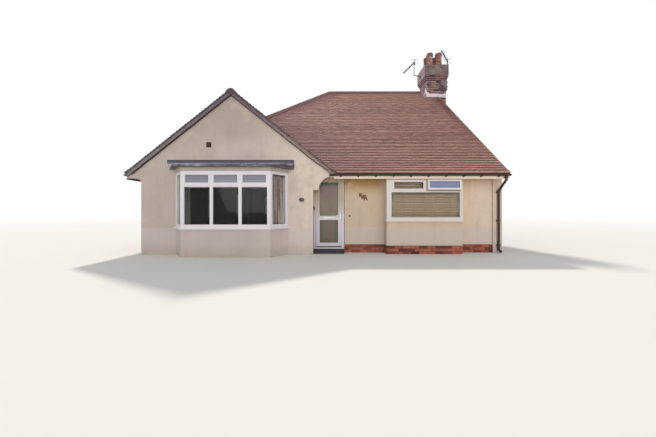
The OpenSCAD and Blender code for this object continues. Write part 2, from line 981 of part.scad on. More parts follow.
module rear_eaves() {
    color(cream_c)
        intersection() {
            translate([x_party, y_eave, 0])
                rotate([90, 0, -90])
                    linear_extrude(x_party - x_eave)
                        eaves_section();
            linear_extrude(far)
                polygon([[x_eave, y_eave], [x_wall, y_wall], [x_party, y_wall],
                         [x_party, y_eave]]);
        }
}

// A half-round gutter along +X of length l, its back on the line y = 0, with brackets. Both
// ends are stopped, but mitre -1 carries the start, and mitre 1 the far end, round a corner
module gutter(l, mitre = 0) {
    count = floor(l / bracket_step);
    first = (l - (count - 1) * bracket_step) / 2;
    back = gutter_r + strap_t;
    run_on = gutter_r + back;
    translate([0, -back, gutter_z])
        union() {
            difference() {
                along_x(mitre < 0 ? -run_on : 0, mitre > 0 ? l + run_on : l)
                    half_ring(gutter_r, gutter_r - gutter_t);
                if (mitre != 0)
                    translate([mitre < 0 ? seat : l - seat, back, -far / 2])
                        linear_extrude(far)
                            polygon([[0, 0], [mitre * far, 0], [mitre * far, -far]]);
            }
            if (mitre >= 0)
                along_x(0, gutter_t)
                    half_ring(gutter_r, 0);
            if (mitre <= 0)
                along_x(l - gutter_t, l)
                    half_ring(gutter_r, 0);
            for (i = [0 : count - 1])
                translate([first + i * bracket_step - strap_w / 2, 0, 0]) {
                    along_x(0, strap_w)
                        half_ring(gutter_r + strap_t, gutter_r);
                    translate([0, gutter_r, -gutter_r])
                        cube([strap_w, strap_t, gutter_r]);
                }
        }
}

module half_ring(outer, inner) {
    difference() {
        circle(outer);
        if (inner > 0)
            circle(inner);
        translate([-far, 0])
            square(2 * far);
    }
}

module front_gutter() {
    color(black_c)
        translate([x_return + foot_over - gutter_lap, -y_eave, 0])
            gutter(x_party - x_return - foot_over + gutter_lap);
}

module side_gutter() {
    color(black_c)
        translate([x_eave, y_eave, 0])
            rotate([0, 0, -90])
                gutter(2 * y_eave, -1);
}

module rear_gutter() {
    color(black_c)
        translate([x_party, y_eave, 0])
            rotate([0, 0, 180])
                gutter(x_party - x_eave, 1);
}

// Round pipe through a list of points, with socketed elbows
module pipe_run(points, d) {
    for (i = [0 : len(points) - 2])
        pipe_between(points[i], points[i + 1], d);
    for (i = [1 : len(points) - 2])
        translate(points[i])
            sphere(d / 2 + elbow_t);
}

module pipe_between(a, b, d) {
    v = b - a;
    l = norm(v);
    translate(a)
        rotate([0, acos(v[2] / l), atan2(v[1], v[0])])
            cylinder(h = l, d = d);
}

// Outlet under a gutter, swan neck back to the wall, straight pipe and shoe, for a pipe on
// a wall face at y = back behind the gutter line
module downpipe(back) {
    r = downpipe_d / 2;
    clip_h = 40;
    out_y = -gutter_r - strap_t;
    wall_y = back - r - pipe_gap;
    outlet_z = gutter_z - gutter_r;
    neck_z = fascia_z - r + 5;
    clip_top = neck_z - neck_fall - 60;
    pipe_run([[0, out_y, outlet_z - 2], [0, out_y, neck_z],
              [0, wall_y, neck_z - neck_fall], [0, wall_y, shoe_z],
              [0, wall_y - 110, shoe_z / 2]], downpipe_d);
    translate([0, out_y, outlet_z - 55])
        cylinder(h = 50, r = r + 6);
    for (z = [clip_top, (clip_top + shoe_z) / 2, shoe_z + 110])
        translate([0, wall_y, z])
            union() {
                cylinder(h = clip_h, r = r + 5);
                translate([-downpipe_d * 0.8, 0, 0])
                    cube([downpipe_d * 1.6, back - wall_y, clip_h]);
            }
}

module front_downpipe() {
    color(black_c)
        translate([x_party - 120, -y_eave, 0])
            downpipe(eaves_over - pier_t);
}

module rear_downpipe() {
    color(black_c)
        translate([x_wall + 150, y_eave, 0])
            rotate([0, 0, 180])
                downpipe(eaves_over);
}

// Canted bay
// Plan of the bay with its faces moved out by d, closed at depth back behind the gable face
function bay_plan(d, back) = [
    [-bay_w / 2 - d / sin(bay_angle), back],
    [-bay_w / 2 - d / sin(bay_angle), 0],
    [-bay_front_w / 2 - d * tan(bay_angle / 2), -bay_proj - d],
    [bay_front_w / 2 + d * tan(bay_angle / 2), -bay_proj - d],
    [bay_w / 2 + d / sin(bay_angle), 0],
    [bay_w / 2 + d / sin(bay_angle), back]
];

module bay_ring(z0, z1, outer, inner) {
    translate([x_bay, -y_eave, z0])
        linear_extrude(z1 - z0)
            intersection() {
                difference() {
                    polygon(bay_plan(outer, 0));
                    polygon(bay_plan(inner, 1));
                }
                translate([-far, -far])
                    square([2 * far, far]);
            }
}

module bay_wall() {
    color(render_c)
        bay_ring(0, bay_sill_z, 0, -bay_wall_t);
}

// Places its children on a face of the bay: x along the face from its left end, y outward
// to inward, face 0 on the left splay, 1 in front, 2 on the right splay
module on_bay_face(face) {
    if (face == 0)
        translate([x_bay - bay_w / 2, -y_eave, 0])
            rotate([0, 0, -bay_angle])
                children();
    if (face == 1)
        translate([x_bay - bay_front_w / 2, -y_eave - bay_proj, 0])
            children();
    if (face == 2)
        translate([x_bay + bay_front_w / 2, -y_eave - bay_proj, 0])
            rotate([0, 0, bay_angle])
                children();
}

module bay_window_frame() {
    color(white_c)
        difference() {
            union() {
                bay_ring(bay_sill_z + bay_sill_h, bay_top_z, 0, -frame_d);
                bay_ring(bay_sill_z, bay_sill_z + bay_sill_h, bay_sill_over, -bay_wall_t);
                for (l = bay_lights)
                    if (l[5] == 1)
                        on_bay_face(l[0])
                            span([l[1] - sash_lap, -sash_proud, l[3] - sash_lap],
                                 [l[2] + sash_lap, frame_d / 2, l[4] + sash_lap]);
            }
            for (l = bay_lights) {
                inset = l[5] == 1 ? sash_w - sash_lap : 0;
                on_bay_face(l[0])
                    span([l[1] + inset, -frame_d, l[3] + inset],
                         [l[2] - inset, 2 * frame_d, l[4] - inset]);
            }
        }
}

module bay_window_glass() {
    color(glass_c)
        for (l = bay_lights) {
            inset = l[5] == 1 ? sash_w - sash_lap : 0;
            on_bay_face(l[0])
                span([l[1] + inset, (frame_d - glass_t) / 2, l[3] + inset],
                     [l[2] - inset, (frame_d + glass_t) / 2, l[4] - inset]);
        }
}

module bay_head() {
    color(cream_c)
        translate([x_bay, -y_eave, bay_top_z])
            linear_extrude(bay_head_h)
                polygon(bay_plan(30, 0));
}

module bay_roof() {
    roof_z = bay_top_z + bay_head_h;
    strip_t = 8;
    strip_w = bay_w + 2 * bay_over / sin(bay_angle);
    color(lead_c)
        union() {
            difference() {
                translate([x_bay, -y_eave, roof_z])
                    linear_extrude(bay_roof_h + bay_rise)
                        polygon(bay_plan(bay_over, 0));
                translate([0, -y_eave, 0])
                    along_x(-far, far)
                        polygon([[-bay_proj - bay_over, roof_z + bay_roof_h],
                                 [0, roof_z + bay_roof_h + bay_rise],
                                 [1, roof_z + bay_roof_h + 2 * bay_rise],
                                 [-bay_proj - bay_over - 1, roof_z + bay_roof_h + 2 * bay_rise]]);
            }
            translate([x_bay - strip_w / 2, -y_eave - strip_t, roof_z + bay_roof_h])
                cube([strip_w, strip_t, bay_rise + strip_h]);
        }
}

// Box window
module box_window_wall() {
    color(render_c)
        union() {
            span([x_box, y_box, 0], [x_box_end, -y_wall, box_sill_z]);
            span([x_box + frame_d, -y_wall - 1, 0],
                 [x_box_end - frame_d, -y_in, box_sill_z]);
        }
}

module box_window_frame() {
    color(white_c)
        union() {
            difference() {
                span([x_box, y_box, box_sill_z + box_sill_h],
                     [x_box_end, y_box + frame_d, soffit_z]);
                for (l = concat(box_lights, [box_vent]))
                    span([l[0], y_box - 1, l[2]], [l[1], y_box + frame_d + 1, l[3]]);
            }
            for (x = [x_box, x_box_end - frame_d])
                span([x, y_box + frame_d, box_sill_z + box_sill_h],
                     [x + frame_d, -y_wall, soffit_z]);
            span([x_box - 20, y_box - 40, box_sill_z],
                 [x_box_end + 20, -y_wall, box_sill_z + box_sill_h]);
        }
}

module box_window_glass() {
    color(glass_c) {
        for (l = box_lights)
            span([l[0], y_box + (frame_d - glass_t) / 2, l[2]],
                 [l[1], y_box + (frame_d + glass_t) / 2, l[3]]);
        on_vent()
            vent_hole((vent_t - glass_t) / 2, (vent_t + glass_t) / 2);
    }
}

// Places its children on the top-hung vent, which stands a little open: x and z from the
// lower left of its outer face, y inward
module on_vent() {
    translate([box_vent[0] - vent_lap, y_box, box_vent[3] + vent_lap])
        rotate([-vent_angle, 0, 0])
            translate([0, -vent_t, -box_vent_h])
                children();
}

module vent_hole(y0, y1) {
    span([vent_member, y0, vent_member],
         [box_vent_w - vent_member, y1, box_vent_h - vent_member]);
}

module box_window_vent() {
    color(white_c)
        on_vent()
            difference() {
                cube([box_vent_w, vent_t, box_vent_h]);
                vent_hole(-1, vent_t + 1);
            }
}

// Front door, opening inward on hinges at its left edge
// A knuckle of height h at z, with its flap on the face at y = face towards side
module hinge_part(z, h, side, face) {
    flap_w = 42;
    translate([hinge_x, hinge_y, z])
        cylinder(h = h, r = hinge_r);
    span([side > 0 ? hinge_x : hinge_x - flap_w, face, z],
         [side > 0 ? hinge_x + flap_w : hinge_x, hinge_y - hinge_r + 3, z + h]);
}

module door_frame() {
    color(white_c)
        union() {
            door_frame_ring();
            for (z = hinge_heights) {
                hinge_part(z, hinge_h / 3, -1, frame_d - y_wall);
                hinge_part(z + hinge_h * 2 / 3, hinge_h / 3, -1, frame_d - y_wall);
            }
        }
}

module door_frame_ring() {
    difference() {
        span([x_return, -y_wall, door_z], [x_door, -y_wall + frame_d, soffit_z]);
        span([x_return + door_jamb + leaf_gap + stop_w, -y_wall - 1, door_z + threshold_h],
             [x_door - door_jamb - leaf_gap - stop_w, -y_in, leaf_z1 - stop_w]);
        span([x_return + door_jamb, -y_wall + stop_t, door_z + threshold_h],
             [x_door - door_jamb, -y_in, soffit_z - door_jamb]);
    }
}

// Step in front of the door, carried back under the frame to the floor
module door_step() {
    color(lead_c)
        union() {
            span([x_return, -y_wall - step_d, 0], [x_door, -y_wall, step_h]);
            span([x_return, -y_wall - 1, 0], [x_door, -y_in, step_h]);
            span([x_return, -y_wall, step_h - 1], [x_door, -y_in, door_z]);
            span([x_return, -y_wall + frame_d, door_z - 1], [x_door, -y_in, floor_t]);
        }
}

module front_door() {
    color(white_c)
        union() {
            difference() {
                span([leaf_x0, leaf_y0, leaf_z0], [leaf_x1, leaf_y1, leaf_z1]);
                for (p = door_panes)
                    span([leaf_x0 + stile_w, leaf_y0 - 1, p[0]],
                         [leaf_x1 - stile_w, leaf_y1 + 1, p[1]]);
            }
            for (z = hinge_heights)
                hinge_part(z + hinge_h / 3 + knuckle_gap, hinge_h / 3 - 2 * knuckle_gap, 1,
                           leaf_y1);
        }
}

module front_door_glass() {
    color(glass_c)
        for (p = door_panes)
            span([leaf_x0 + stile_w, leaf_y0 + 10, p[0]],
                 [leaf_x1 - stile_w, leaf_y1 - 10, p[1]]);
}

// Long plates with a lever on both faces of the leaf, on the right stile
module front_door_handle() {
    plate_t = 9;
    color(white_c)
        for (side = [0, 1])
            translate([leaf_x1 - stile_w / 2, side == 0 ? leaf_y0 : leaf_y1, handle_z])
                mirror([0, side, 0]) {
                    translate([-15, -plate_t, -handle_h / 2])
                        cube([30, plate_t, handle_h]);
                    translate([0, -plate_t + 1, 40])
                        rotate([90, 0, 0])
                            cylinder(h = 40, d = 20);
                    translate([-110, -plate_t - 39, 31])
                        cube([119, 12, 18]);
                }
}

// Windows in the rear and left walls
// A casement with a fanlight, w wide, its outer face on the line y = 0, along X
module casement_frame(w) {
    difference() {
        span([-w / 2, 0, window_sill_z], [w / 2, frame_d, window_top_z]);
        casement_lights(w, -1, frame_d + 1);
    }
    span([-w / 2, -reveal - 30, window_sill_z], [w / 2, 1, window_sill_z + 30]);
}

module casement_lights(w, y0, y1) {
    span([frame_w - w / 2, y0, window_sill_z + frame_w],
         [w / 2 - frame_w, y1, transom_z - frame_w / 2]);
    span([frame_w - w / 2, y0, transom_z + frame_w / 2],
         [w / 2 - frame_w, y1, window_top_z - frame_w]);
}

module rear_window_frames() {
    color(white_c)
        for (x = rear_windows)
            translate([x, y_wall - reveal, 0])
                rotate([0, 0, 180])
                    casement_frame(window_w);
}

module rear_window_glass() {
    color(glass_c)
        for (x = rear_windows)
            translate([x, y_wall - reveal, 0])
                rotate([0, 0, 180])
                    casement_lights(window_w, (frame_d - glass_t) / 2,
                                    (frame_d + glass_t) / 2);
}

module side_window_frames() {
    color(white_c)
        for (w = side_windows)
            translate([x_wall + reveal, w[0], 0])
                rotate([0, 0, -90])
                    casement_frame(w[1]);
}

module side_window_glass() {
    color(glass_c)
        for (w = side_windows)
            translate([x_wall + reveal, w[0], 0])
                rotate([0, 0, -90])
                    casement_lights(w[1], (frame_d - glass_t) / 2,
                                    (frame_d + glass_t) / 2);
}

// Plain back door in its frame, with two recessed panels
module back_door() {
    half = back_door_w / 2;
    side = half - back_stile_w;
    color(white_c)
        translate([x_back_door, y_wall - reveal, 0])
            rotate([0, 0, 180])
                difference() {
                    span([-half, 0, floor_t], [half, frame_d, window_top_z]);
                    span([-side, -1, back_mid_z + back_mid_h],
                         [side, back_panel_d, window_top_z - back_top_h]);
                    span([-side, -1, floor_t + back_bottom_h],
                         [side, back_panel_d, back_mid_z]);
                }
}

// Small fittings on the front
module air_vent() {
    bar = 12;
    count = 5;
    x0 = x_wing_ridge - vent_x - vent_w / 2;
    z0 = vent_z - vent_w / 2;
    color(black_c)
        translate([x0, 15 - y_eave, z0])
            difference() {
                cube([vent_w, 40, vent_w]);
                for (i = [0 : count - 1])
                    translate([bar, -1, bar + i * (vent_w - bar) / count])
                        cube([vent_w - 2 * bar, 25, (vent_w - bar) / count - bar]);
            }
}

module wall_plaque() {
    color(black_c)
        translate([x_return - plaque_x, -y_eave, plaque_z])
            rotate([90, 0, 0])
                linear_extrude(8)
                    union() {
                        square([plaque_w - plaque_h, plaque_h], center = true);
                        for (side = [-1, 1])
                            translate([side * (plaque_w - plaque_h) / 2, 0])
                                circle(plaque_h / 2);
                    }
}

// Sprig of paired leaves on a sloping stem
module wall_ornament() {
    pairs = 3;
    stem_w = 9;
    step = ornament_l / (pairs + 1);
    color(pot_c)
        translate([x_door + ornament_x, -y_wall, ornament_z])
            rotate([90, 0, 0])
                linear_extrude(10)
                    rotate(-ornament_turn)
                        union() {
                            translate([-ornament_l / 2, -stem_w / 2])
                                square([ornament_l - leaf_l / 2, stem_w]);
                            translate([ornament_l / 2 - leaf_l, 0])
                                leaf();
                            for (i = [0 : pairs - 1], side = [-1, 1])
                                translate([(i + 0.35) * step - ornament_l / 2, 0])
                                    rotate(side * 52)
                                        leaf();
                        }
}

// Pointed leaf from the origin along +X
module leaf() {
    r = (leaf_l * leaf_l + leaf_w * leaf_w) / (4 * leaf_w);
    intersection() {
        translate([leaf_l / 2, r - leaf_w / 2])
            circle(r);
        translate([leaf_l / 2, leaf_w / 2 - r])
            circle(r);
    }
}

module doorbell() {
    color(black_c)
        translate([x_door + bell_x, -y_wall, bell_z])
            rotate([90, 0, 0])
                cylinder(h = 18, d = bell_d);
}

// Television aerial: a foot plate, a cranked arm, a mast, and a boom with its elements
// level along boom_dir before a reflector of four rods on a post
module aerial(foot, mast, boom_dir) {
    boom_w = 20;
    post_w = 16;
    plate_t = 12;
    first = boom_l / 6;
    step = (boom_l - first) / boom_elements;
    top = mast + [0, 0, mast_h];
    unit = boom_dir / norm(boom_dir);
    pipe_run([foot, mast, top], mast_d);
    translate(foot - [plate_t / 2, 1.5 * mast_d, 2.5 * mast_d])
        cube([plate_t, 3 * mast_d, 5 * mast_d]);
    translate(top - [0, 0, mast_h / 16] - unit * 2 * mast_d)
        rotate([0, 0, atan2(unit[1], unit[0])])
            union() {
                translate([0, -boom_w / 2, -boom_w / 2])
                    cube([boom_l, boom_w, boom_w]);
                for (i = [1 : boom_elements])
                    translate([first + (i - 0.5) * step, 0, 0])
                        element(element_l);
                translate([0, -post_w / 2, -reflector_h / 2])
                    cube([post_w, post_w, reflector_h]);
                for (z = [-0.46, -0.2, 0.2, 0.46] * reflector_h)
                    translate([post_w / 2, 0, z])
                        element(reflector_l);
            }
}

module element(l) {
    rotate([90, 0, 0])
        cylinder(h = l, d = element_d, center = true, $fn = 8);
}

module tv_aerials() {
    arm_z = head_top_z - arm_drop;
    color(steel_c) {
        aerial([x_stack - head_r - 6, 100, arm_z],
               [x_stack - head_r - left_arm, 100, arm_z + arm_rise], [-0.24, 1.13, 0]);
        aerial([x_stack + head_r + 6, -150, arm_z], [x_stack + head_r + right_arm, -150, arm_z],
               [-0.67, -0.96, 0]);
    }
}

floor_slab();
ceiling();
gable_wall();
wing_return_wall();
front_wall_middle();
front_wall_right();
front_wall_top();
left_side_wall();
rear_wall();
party_wall();
chimney_breast();
chimney_shaft();
chimney_head();
chimney_pots();
chimney_flashing();
roof_front_slope();
roof_rear_slope();
roof_hip_end();
wing_left_slope();
wing_right_slope();
ridge_tiles();
hip_tiles();
wing_ridge_tiles();
gable_verge();
front_eaves();
side_eaves();
rear_eaves();
front_gutter();
side_gutter();
rear_gutter();
front_downpipe();
rear_downpipe();
bay_wall();
bay_window_frame();
bay_window_glass();
bay_head();
bay_roof();
box_window_wall();
box_window_frame();
box_window_glass();
box_window_vent();
door_frame();
door_step();
front_door();
front_door_glass();
front_door_handle();
back_door();
rear_window_frames();
rear_window_glass();
side_window_frames();
side_window_glass();
air_vent();
wall_plaque();
wall_ornament();
doorbell();
tv_aerials();
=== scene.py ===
import math
import random

import bpy
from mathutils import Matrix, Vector


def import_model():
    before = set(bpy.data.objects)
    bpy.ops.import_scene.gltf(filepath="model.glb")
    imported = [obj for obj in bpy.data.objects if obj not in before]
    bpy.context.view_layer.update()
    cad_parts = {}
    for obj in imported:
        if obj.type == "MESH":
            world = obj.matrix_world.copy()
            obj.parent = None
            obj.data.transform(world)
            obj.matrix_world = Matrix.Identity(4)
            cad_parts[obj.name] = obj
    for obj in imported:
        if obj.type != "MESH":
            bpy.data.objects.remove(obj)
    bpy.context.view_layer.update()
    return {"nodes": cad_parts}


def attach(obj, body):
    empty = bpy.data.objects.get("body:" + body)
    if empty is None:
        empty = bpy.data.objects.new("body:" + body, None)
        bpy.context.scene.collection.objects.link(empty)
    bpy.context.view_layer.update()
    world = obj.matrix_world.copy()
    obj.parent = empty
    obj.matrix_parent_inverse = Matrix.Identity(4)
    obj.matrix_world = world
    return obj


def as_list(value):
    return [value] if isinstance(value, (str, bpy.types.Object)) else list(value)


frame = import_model()

# Lines of the house, in metres, as the source of the part has them
PITCH = math.radians(38.5)
CP, SP, TP = math.cos(PITCH), math.sin(PITCH), math.tan(PITCH)
EAVE_Z = 2.26
X_WALL, Y_WALL = -5.05, 5.18
X_EAVE, Y_EAVE = -5.44, 5.57
X_PARTY = 5.05
X_WING_EAVE, X_WING_RIDGE = 0.26, -2.59
WING_RUN = X_WING_EAVE - X_WING_RIDGE
Y_VALLEY = WING_RUN - Y_EAVE
X_RIDGE = X_EAVE + Y_EAVE
RIDGE_Z, WING_RIDGE_Z = EAVE_Z + Y_EAVE * TP, EAVE_Z + WING_RUN * TP
TILE_OVER, VERGE_OVER, VERGE_DEPTH = 0.04, 0.05, 0.12
GAUGE, BUTT = 0.1, 0.016
RIDGE_R = 0.125
X_RETURN, X_DOOR, X_LEAF, LEAF_Y = -0.34, 0.53, 0.095, -5.15
X_STACK, STACK_R, HEAD_R = 4.9375, 0.445, 0.535
STACK_TOP, HEAD_TOP, COURSE = 7.06, 7.74, 0.075
X_BAY, BAY_W, BAY_FRONT_W, BAY_PROJ, BAY_OVER = -2.565, 3.07, 2.3, 0.5, 0.14
BAY_ROOF_Z, BAY_ROOF_H, BAY_RISE, STRIP_H = 2.33, 0.06, 0.09, 0.11
BAY_ANGLE = math.atan2(BAY_PROJ, (BAY_W - BAY_FRONT_W) / 2)
BAY_SIDE = math.hypot(BAY_PROJ, (BAY_W - BAY_FRONT_W) / 2)
X_BOX, X_BOX_END, Y_BOX = 1.696, 3.799, -5.49
FRAME_D, GLASS_T = 0.07, 0.024
PLINTH_Z, DOOR_HEAD_Z, X_PIER = 0.235, 2.135, X_PARTY - 0.26
GUTTER_Z, BRACKET_STEP, BRACKET_W = 2.146, 0.48, 0.036
BOOM_L, ELEMENTS = 1.16, 12
THREADS = 900 / 6.28
AERIALS = (((4.1125, 0.1, 8.14), (-0.24, 1.13)), ((5.5725, -0.15, 8.08), (-0.67, -0.96)))
Z = Vector((0, 0, 1))


def srgb(r, g, b):
    """Blender's linear colour for one written as 0 to 255."""
    return (*((c / 12.92 if c <= 0.04045 else ((c + 0.055) / 1.055) ** 2.4)
              for c in (r / 255, g / 255, b / 255)), 1.0)


def show(ob):
    bpy.context.scene.collection.objects.link(ob)
    return ob


class Value:
    """A number or colour that changes over a surface; sums with it make their own nodes."""

    def __init__(self, mat, socket):
        self.mat, self.socket = mat, socket

    def math(self, operation, *others):
        n = self.mat.node("ShaderNodeMath", self, *others)
        n.operation = operation
        return Value(self.mat, n.outputs[0])

    def __add__(self, other):
        return self.math("ADD", other)

    def __sub__(self, other):
        return self.math("SUBTRACT", other)

    def __mul__(self, other):
        return self.math("MULTIPLY", other)

    def __abs__(self):
        return self.math("ABSOLUTE")

    def __gt__(self, other):
        return self.math("GREATER_THAN", other)

    def __lt__(self, other):
        return self.math("LESS_THAN", other)

    def span(self, lo, hi, to_lo=0.0, to_hi=1.0):
        """What runs from lo to hi made to run from to_lo to to_hi, and no further."""
        n = self.mat.node("ShaderNodeMapRange", self, lo, hi, to_lo, to_hi)
        return Value(self.mat, n.outputs[0])


class Mat:
    """A Principled material; colours are written as 0 to 255."""

    def __init__(self, name, rough=0.6, **sockets):
        self.m = bpy.data.materials.new(name)
        self.m.use_nodes = True
        self.nt = self.m.node_tree
        self.bsdf = self.nt.nodes["Principled BSDF"]
        self.colour = self.normal = None
        self.set(Roughness=rough, **sockets)
        self.at = self.nt.nodes.new("ShaderNodeTexCoord").outputs["Object"]
        self.x, self.y, self.z = self.parts(self.at)

    def put(self, socket, value):
        if isinstance(value, Value):
            value = value.socket
        if isinstance(value, bpy.types.NodeSocket):
            self.nt.links.new(value, socket)
        elif socket.type == "RGBA":
            socket.default_value = srgb(*value)
        else:
            socket.default_value = value

    def set(self, **sockets):
        for label, value in sockets.items():
            self.put(self.bsdf.inputs[label.replace("_", " ")], value)

    def node(self, kind, *values, **inputs):
        n = self.nt.nodes.new(kind)
        for socket, value in (*zip(n.inputs, values), *((n.inputs[k], v) for k, v in inputs.items())):
            self.put(socket, value)
        return n

    def parts(self, vector):
        return [Value(self, s) for s in self.node("ShaderNodeSeparateXYZ", vector).outputs]

    def noise(self, scale, detail=4.0, rough=0.55, stretch=None):
        at = self.node("ShaderNodeMapping", self.at, Scale=stretch).outputs[0] if stretch else self.at
        n = self.node("ShaderNodeTexNoise", Vector=at, Scale=scale, Detail=detail, Roughness=rough)
        return Value(self, n.outputs["Fac"])

    def voronoi(self, scale, feature="F1"):
        n = self.node("ShaderNodeTexVoronoi", Vector=self.at, Scale=scale)
        n.feature = feature
        return Value(self, n.outputs["Distance"])

    def attribute(self, name):
        n = self.node("ShaderNodeAttribute")
        n.attribute_name = name
        return Value(self, n.outputs["Fac"])

    def ramp(self, value, *stops):
        """A colour for each place on the way from 0 to 1."""
        n = self.node("ShaderNodeValToRGB", value)
        elements = n.color_ramp.elements
        while len(elements) < len(stops):
            elements.new(0.5)
        for element, (place, colour) in zip(elements, stops):
            element.position = place
            element.color = srgb(*colour)
        return Value(self, n.outputs["Color"])

    def mix(self, share, a, b):
        n = self.node("ShaderNodeMix")
        n.data_type = "RGBA"
        for i, value in ((0, share), (6, a), (7, b)):
            self.put(n.inputs[i], value)
        return Value(self, n.outputs[2])

    def clouds(self, value, dark, light, lo=0.3, hi=0.7):
        """Starts the colour with two tones."""
        self.colour = self.ramp(value, (lo, dark), (hi, light))

    def tint(self, share, colour):
        """Lays a share of another colour over what is there."""
        self.colour = self.mix(share, self.colour, colour)

    def fade(self, value, lo, hi, share, colour):
        """Lays another colour over what is there, from none at lo to a share at hi."""
        self.tint(value.span(lo, hi, 0, share), colour)

    def relief(self, height, strength, distance):
        """Adds bumps to those that are there."""
        n = self.node("ShaderNodeBump", Height=height, Strength=strength, Distance=distance)
        if self.normal:
            self.put(n.inputs["Normal"], self.normal)
        self.normal = n.outputs[0]

    def done(self, *reliefs, rough=None):
        """Puts the colour, the relief and the roughness in place; each relief has the scale,
        detail and roughness of its noise, then its strength and its distance."""
        for scale, detail, grain, strength, distance in reliefs:
            self.relief(self.noise(scale, detail, grain), strength, distance)
        self.set(Base_Color=self.colour, Normal=self.normal)
        if rough:
            self.set(Roughness=rough)
        return self.m


def directly_seen(nt):
    """1 for what the camera sees, also in a reflection or through glass."""
    path = nt.nodes.new("ShaderNodeLightPath")
    seen = path.outputs["Is Camera Ray"]
    for kind in ("Is Glossy Ray", "Is Transmission Ray"):
        either = nt.nodes.new("ShaderNodeMath")
        either.operation = "MAXIMUM"
        nt.links.new(seen, either.inputs[0])
        nt.links.new(path.outputs[kind], either.inputs[1])
        seen = either.outputs[0]
    return seen


def mix_shaders(nt, share, a, b, surface):
    m = nt.nodes.new("ShaderNodeMixShader")
    for socket, output in zip(m.inputs, (share, a, b)):
        nt.links.new(output, socket)
    nt.links.new(m.outputs[0], surface)


# Materials
def render_material():
    """Painted render: grey on the gable and darker towards its top as painted shade; warmer and ochre
    under the eaves; painted shade on the inner faces.
    """
    k = Mat("render_paint", 0.88)
    x, y, z = k.x, k.y, k.z
    k.colour = k.ramp(k.noise(0.9, 5, 0.6), (0.3, (171, 158, 150)), (0.52, (180, 167, 158)),
                      (0.75, (190, 177, 167)))
    # painted shade: the gable is greyer and darker towards its top, where less light comes up from the
    # ground; it is paler by the door
    k.fade(z, 2.6, 4.1, 0.7, (156, 144, 136))
    middle = x.span(-3.6, -2.8) * x.span(-1.2, -2.0) * z.span(3.3, 2.95)
    k.tint(middle * z.span(2.4, 2.7) * 0.6, (203, 188, 185))
    k.fade(x, -2.0, -0.6, 0.85, (222, 206, 192))
    patchy = k.noise(1.9, 5, 0.62)
    k.fade(patchy, 0.48, 0.68, 0.4, (168, 154, 142))
    k.fade(patchy, 0.44, 0.3, 0.35, (206, 190, 178))
    # the wall under the eaves is warmer, most of all at its top
    recessed = x.span(0.4, 0.55) * y.span(-4.9, -5.1)
    k.tint(recessed * 0.85, (199, 178, 151))
    # an ochre tone near the top of this wall, darker than the rest
    ochre_top = recessed * z.span(1.62, 1.98) * k.noise(2.6, 5, 0.6).span(0.22, 0.46)
    k.tint(ochre_top * x.span(1.7, 1.5, 0.35, 1) * 0.95, (170, 132, 72))
    k.tint(recessed * x.span(3.8, 3.9) * 0.5, (228, 202, 174))
    k.tint(recessed * x.span(4.1, 4.4, 0, 0.5), (212, 196, 186))
    cloud = k.noise(5.5, 6, 0.62)
    k.fade(cloud, 0.35, 0.75, 0.3, (172, 157, 142))
    k.fade(k.noise(2.2, 5, 0.6, (3.2, 3.2, 0.28)), 0.52, 0.78, 0.3, (160, 147, 134))
    plinth = (z + k.noise(1.4, 3) * 0.02).span(0.735, 0.742, 1, 0)
    k.tint(plinth * 0.45, (196, 184, 182))
    k.tint(z.span(0.0, 0.35, 0.55, 0) * k.noise(6, 5), (138, 126, 112))
    k.fade(k.noise(240, 2, 0.6), 0.62, 0.8, 0.25, (150, 138, 124))
    # painted shade: inner faces are plastered, and made dark because the closed rooms get little light
    inner = (y > x.span(-0.62, -0.61, -5.294, -4.904)) * (y < 4.904) * (x > -4.774) * (x < 4.829)
    k.tint(inner, k.mix(cloud.span(0.3, 0.8, 0, 0.3), (84, 76, 68), (70, 62, 56)))
    k.relief(k.noise(18, 4, 0.55), 0.22, 0.012)
    k.relief(k.noise(130, 5, 0.65), 0.35, 0.003)
    k.relief(plinth, 0.5, 0.004)
    return k.done()


